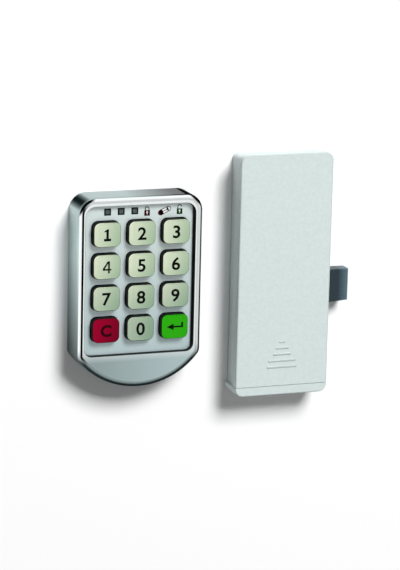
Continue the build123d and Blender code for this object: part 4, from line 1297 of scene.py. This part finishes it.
class CABINETLOCK_OT_stage(bpy.types.Operator):
    """Add the camera, the lamp, the floor and the world"""

    bl_idname = "cabinet_lock.stage"
    bl_label = "Stage"

    def execute(self, context):
        scene = context.scene
        scene.view_settings.view_transform = "Standard"
        # The photograph looks from 20 degrees to the left of the keypad's front and 13 degrees above it
        yaw, pitch, roll = (math.radians(a) for a in (20.0, 13.0, 1.341))
        distance, slide_x, slide_y, key_level = 1.32793, -0.029016, 0.002191, 17.7 * MM
        target = KEYPAD + Vector((0, 0, key_level))
        back = Vector((-math.sin(yaw) * math.cos(pitch), math.sin(pitch), math.cos(yaw) * math.cos(pitch)))
        level = Vector((math.cos(yaw), 0, math.sin(yaw)))
        above = back.cross(level)
        right = math.cos(roll) * level + math.sin(roll) * above
        up = math.cos(roll) * above - math.sin(roll) * level
        data = bpy.data.cameras.new("camera")
        data.lens, data.sensor_width = 170.5, 36.0
        data.clip_start, data.clip_end = 0.1, 10.0
        camera = bpy.data.objects.new("camera", data)
        camera.matrix_world = aim(target + distance * back - slide_x * right - slide_y * up, right, up, back)
        scene.collection.objects.link(camera)
        scene.camera = camera
        self.add_floor(scene)
        self.add_lamp(scene)
        self.add_world(scene)
        return {"FINISHED"}

    def add_floor(self, scene):
        """A white table that keeps the shadow and shows white to camera and reflections alike."""
        bm = bmesh.new()
        bmesh.ops.create_grid(bm, x_segments=1, y_segments=1, size=3.0)
        mesh = bpy.data.meshes.new("floor")
        bm.to_mesh(mesh)
        bm.free()
        material = bpy.data.materials.new("white_table")
        table = Shading(material)
        paper = table.add("BsdfDiffuse", (0.9, 0.9, 0.9))
        path = table.add("LightPath").node.outputs
        seen = path["Is Camera Ray"]
        # Far from the object, where the lamp's light falls off, the camera sees the table lifted to white
        away = table.add("VectorMath", table.add("TexCoord", output="Object"), operation="LENGTH")
        fallen = table.add("MapRange", away, 0.25, 1.2, 0.0, 0.8)
        far = table.add("Math", seen, fallen, operation="MULTIPLY")
        for kind in ("Is Glossy Ray", "Is Transmission Ray"):
            seen = table.add("Math", seen, path[kind], operation="MAXIMUM")
        near = table.add("Math", seen, 0.05, operation="MULTIPLY")
        glow = table.add("Emission", Strength=table.add("Math", near, far, operation="ADD"))
        table.add("OutputMaterial", table.add("AddShader", paper, glow))
        mesh.materials.append(material)
        floor = bpy.data.objects.new("floor", mesh)
        floor.location.z = -0.2 * MM
        scene.collection.objects.link(floor)

    def add_lamp(self, scene):
        """A soft box beyond the top right, which throws the shadows down and to the left."""
        data = bpy.data.lights.new("soft_box", "AREA")
        data.shape = "RECTANGLE"
        data.size, data.size_y = 1.5, 1.5
        data.energy = 202.0
        lamp = bpy.data.objects.new("soft_box", data)
        lamp.location = (0.92, 2.5, 2.95)
        # Polished edges mirror the pale room and not the lamp, which would burn out in them
        lamp.visible_glossy = False
        lamp.rotation_euler = lamp.location.to_track_quat("Z", "Y").to_euler()
        scene.collection.objects.link(lamp)

    def add_world(self, scene):
        """An even pale room. Metal sees it bright above and to the left, and dark to the right and below."""
        world = bpy.data.worlds.new("pale_room")
        room = Shading(world)
        path = room.add("LightPath").node.outputs
        direction = room.add("TexCoord", output="Generated")
        towards = room.add("VectorMath", direction, (-0.8, 1.0, 0.8), operation="DOT_PRODUCT")
        dark_to_even = room.add("MapRange", towards, -0.45, 0.1, 0.06, 1.2)
        even_to_bright = room.add("MapRange", towards, 0.3, 0.9, 0.0, 0.2)
        side = room.add("Math", dark_to_even, even_to_bright, operation="ADD")
        strength = room.add("Mix", path["Is Glossy Ray"], 0.22, side, data_type="FLOAT")
        seen = room.add("Math", path["Is Camera Ray"], path["Is Transmission Ray"], operation="MAXIMUM")
        strength = room.add("Mix", seen, strength, 1.0, data_type="FLOAT")
        room.add("OutputWorld", room.add("Background", Strength=strength))
        scene.world = world


OPERATORS = [
    CABINETLOCK_OT_stage,
    CABINETLOCK_OT_housing,
    CABINETLOCK_OT_face_plate,
    CABINETLOCK_OT_keys,
    CABINETLOCK_OT_figures,
    CABINETLOCK_OT_signs,
    CABINETLOCK_OT_windows,
    CABINETLOCK_OT_keypad_parts,
    CABINETLOCK_OT_battery_cover,
    CABINETLOCK_OT_bolt_unit,
    CABINETLOCK_OT_cells,
    CABINETLOCK_OT_leads,
]


class CABINETLOCK_PT_sidebar(bpy.types.Panel):
    """Lists the pieces of the lock"""

    bl_idname = "CABINETLOCK_PT_sidebar"
    bl_label = "Cabinet Lock"
    bl_space_type = "VIEW_3D"
    bl_region_type = "UI"
    bl_category = "Cabinet Lock"

    def draw(self, context):
        for operator in OPERATORS:
            self.layout.operator(operator.bl_idname)
        for group in (context.scene.lock_sizes, context.scene.lock_colours):
            for name in group.__annotations__:
                self.layout.prop(group, name)


CLASSES = [LockSizes, LockColours, *OPERATORS, CABINETLOCK_PT_sidebar]


def register():
    """Register the classes and the scene's settings."""
    for kind in CLASSES:
        bpy.utils.register_class(kind)
    bpy.types.Scene.lock_sizes = PointerProperty(type=LockSizes)
    bpy.types.Scene.lock_colours = PointerProperty(type=LockColours)


def unregister():
    """Take the settings and classes away again."""
    del bpy.types.Scene.lock_colours
    del bpy.types.Scene.lock_sizes
    for kind in reversed(CLASSES):
        bpy.utils.unregister_class(kind)


def main():
    """Make every piece in order."""
    register()
    for operator in OPERATORS:
        name = operator.bl_idname.split(".")[1]
        getattr(bpy.ops.cabinet_lock, name)()


if __name__ == "__main__":
    main()
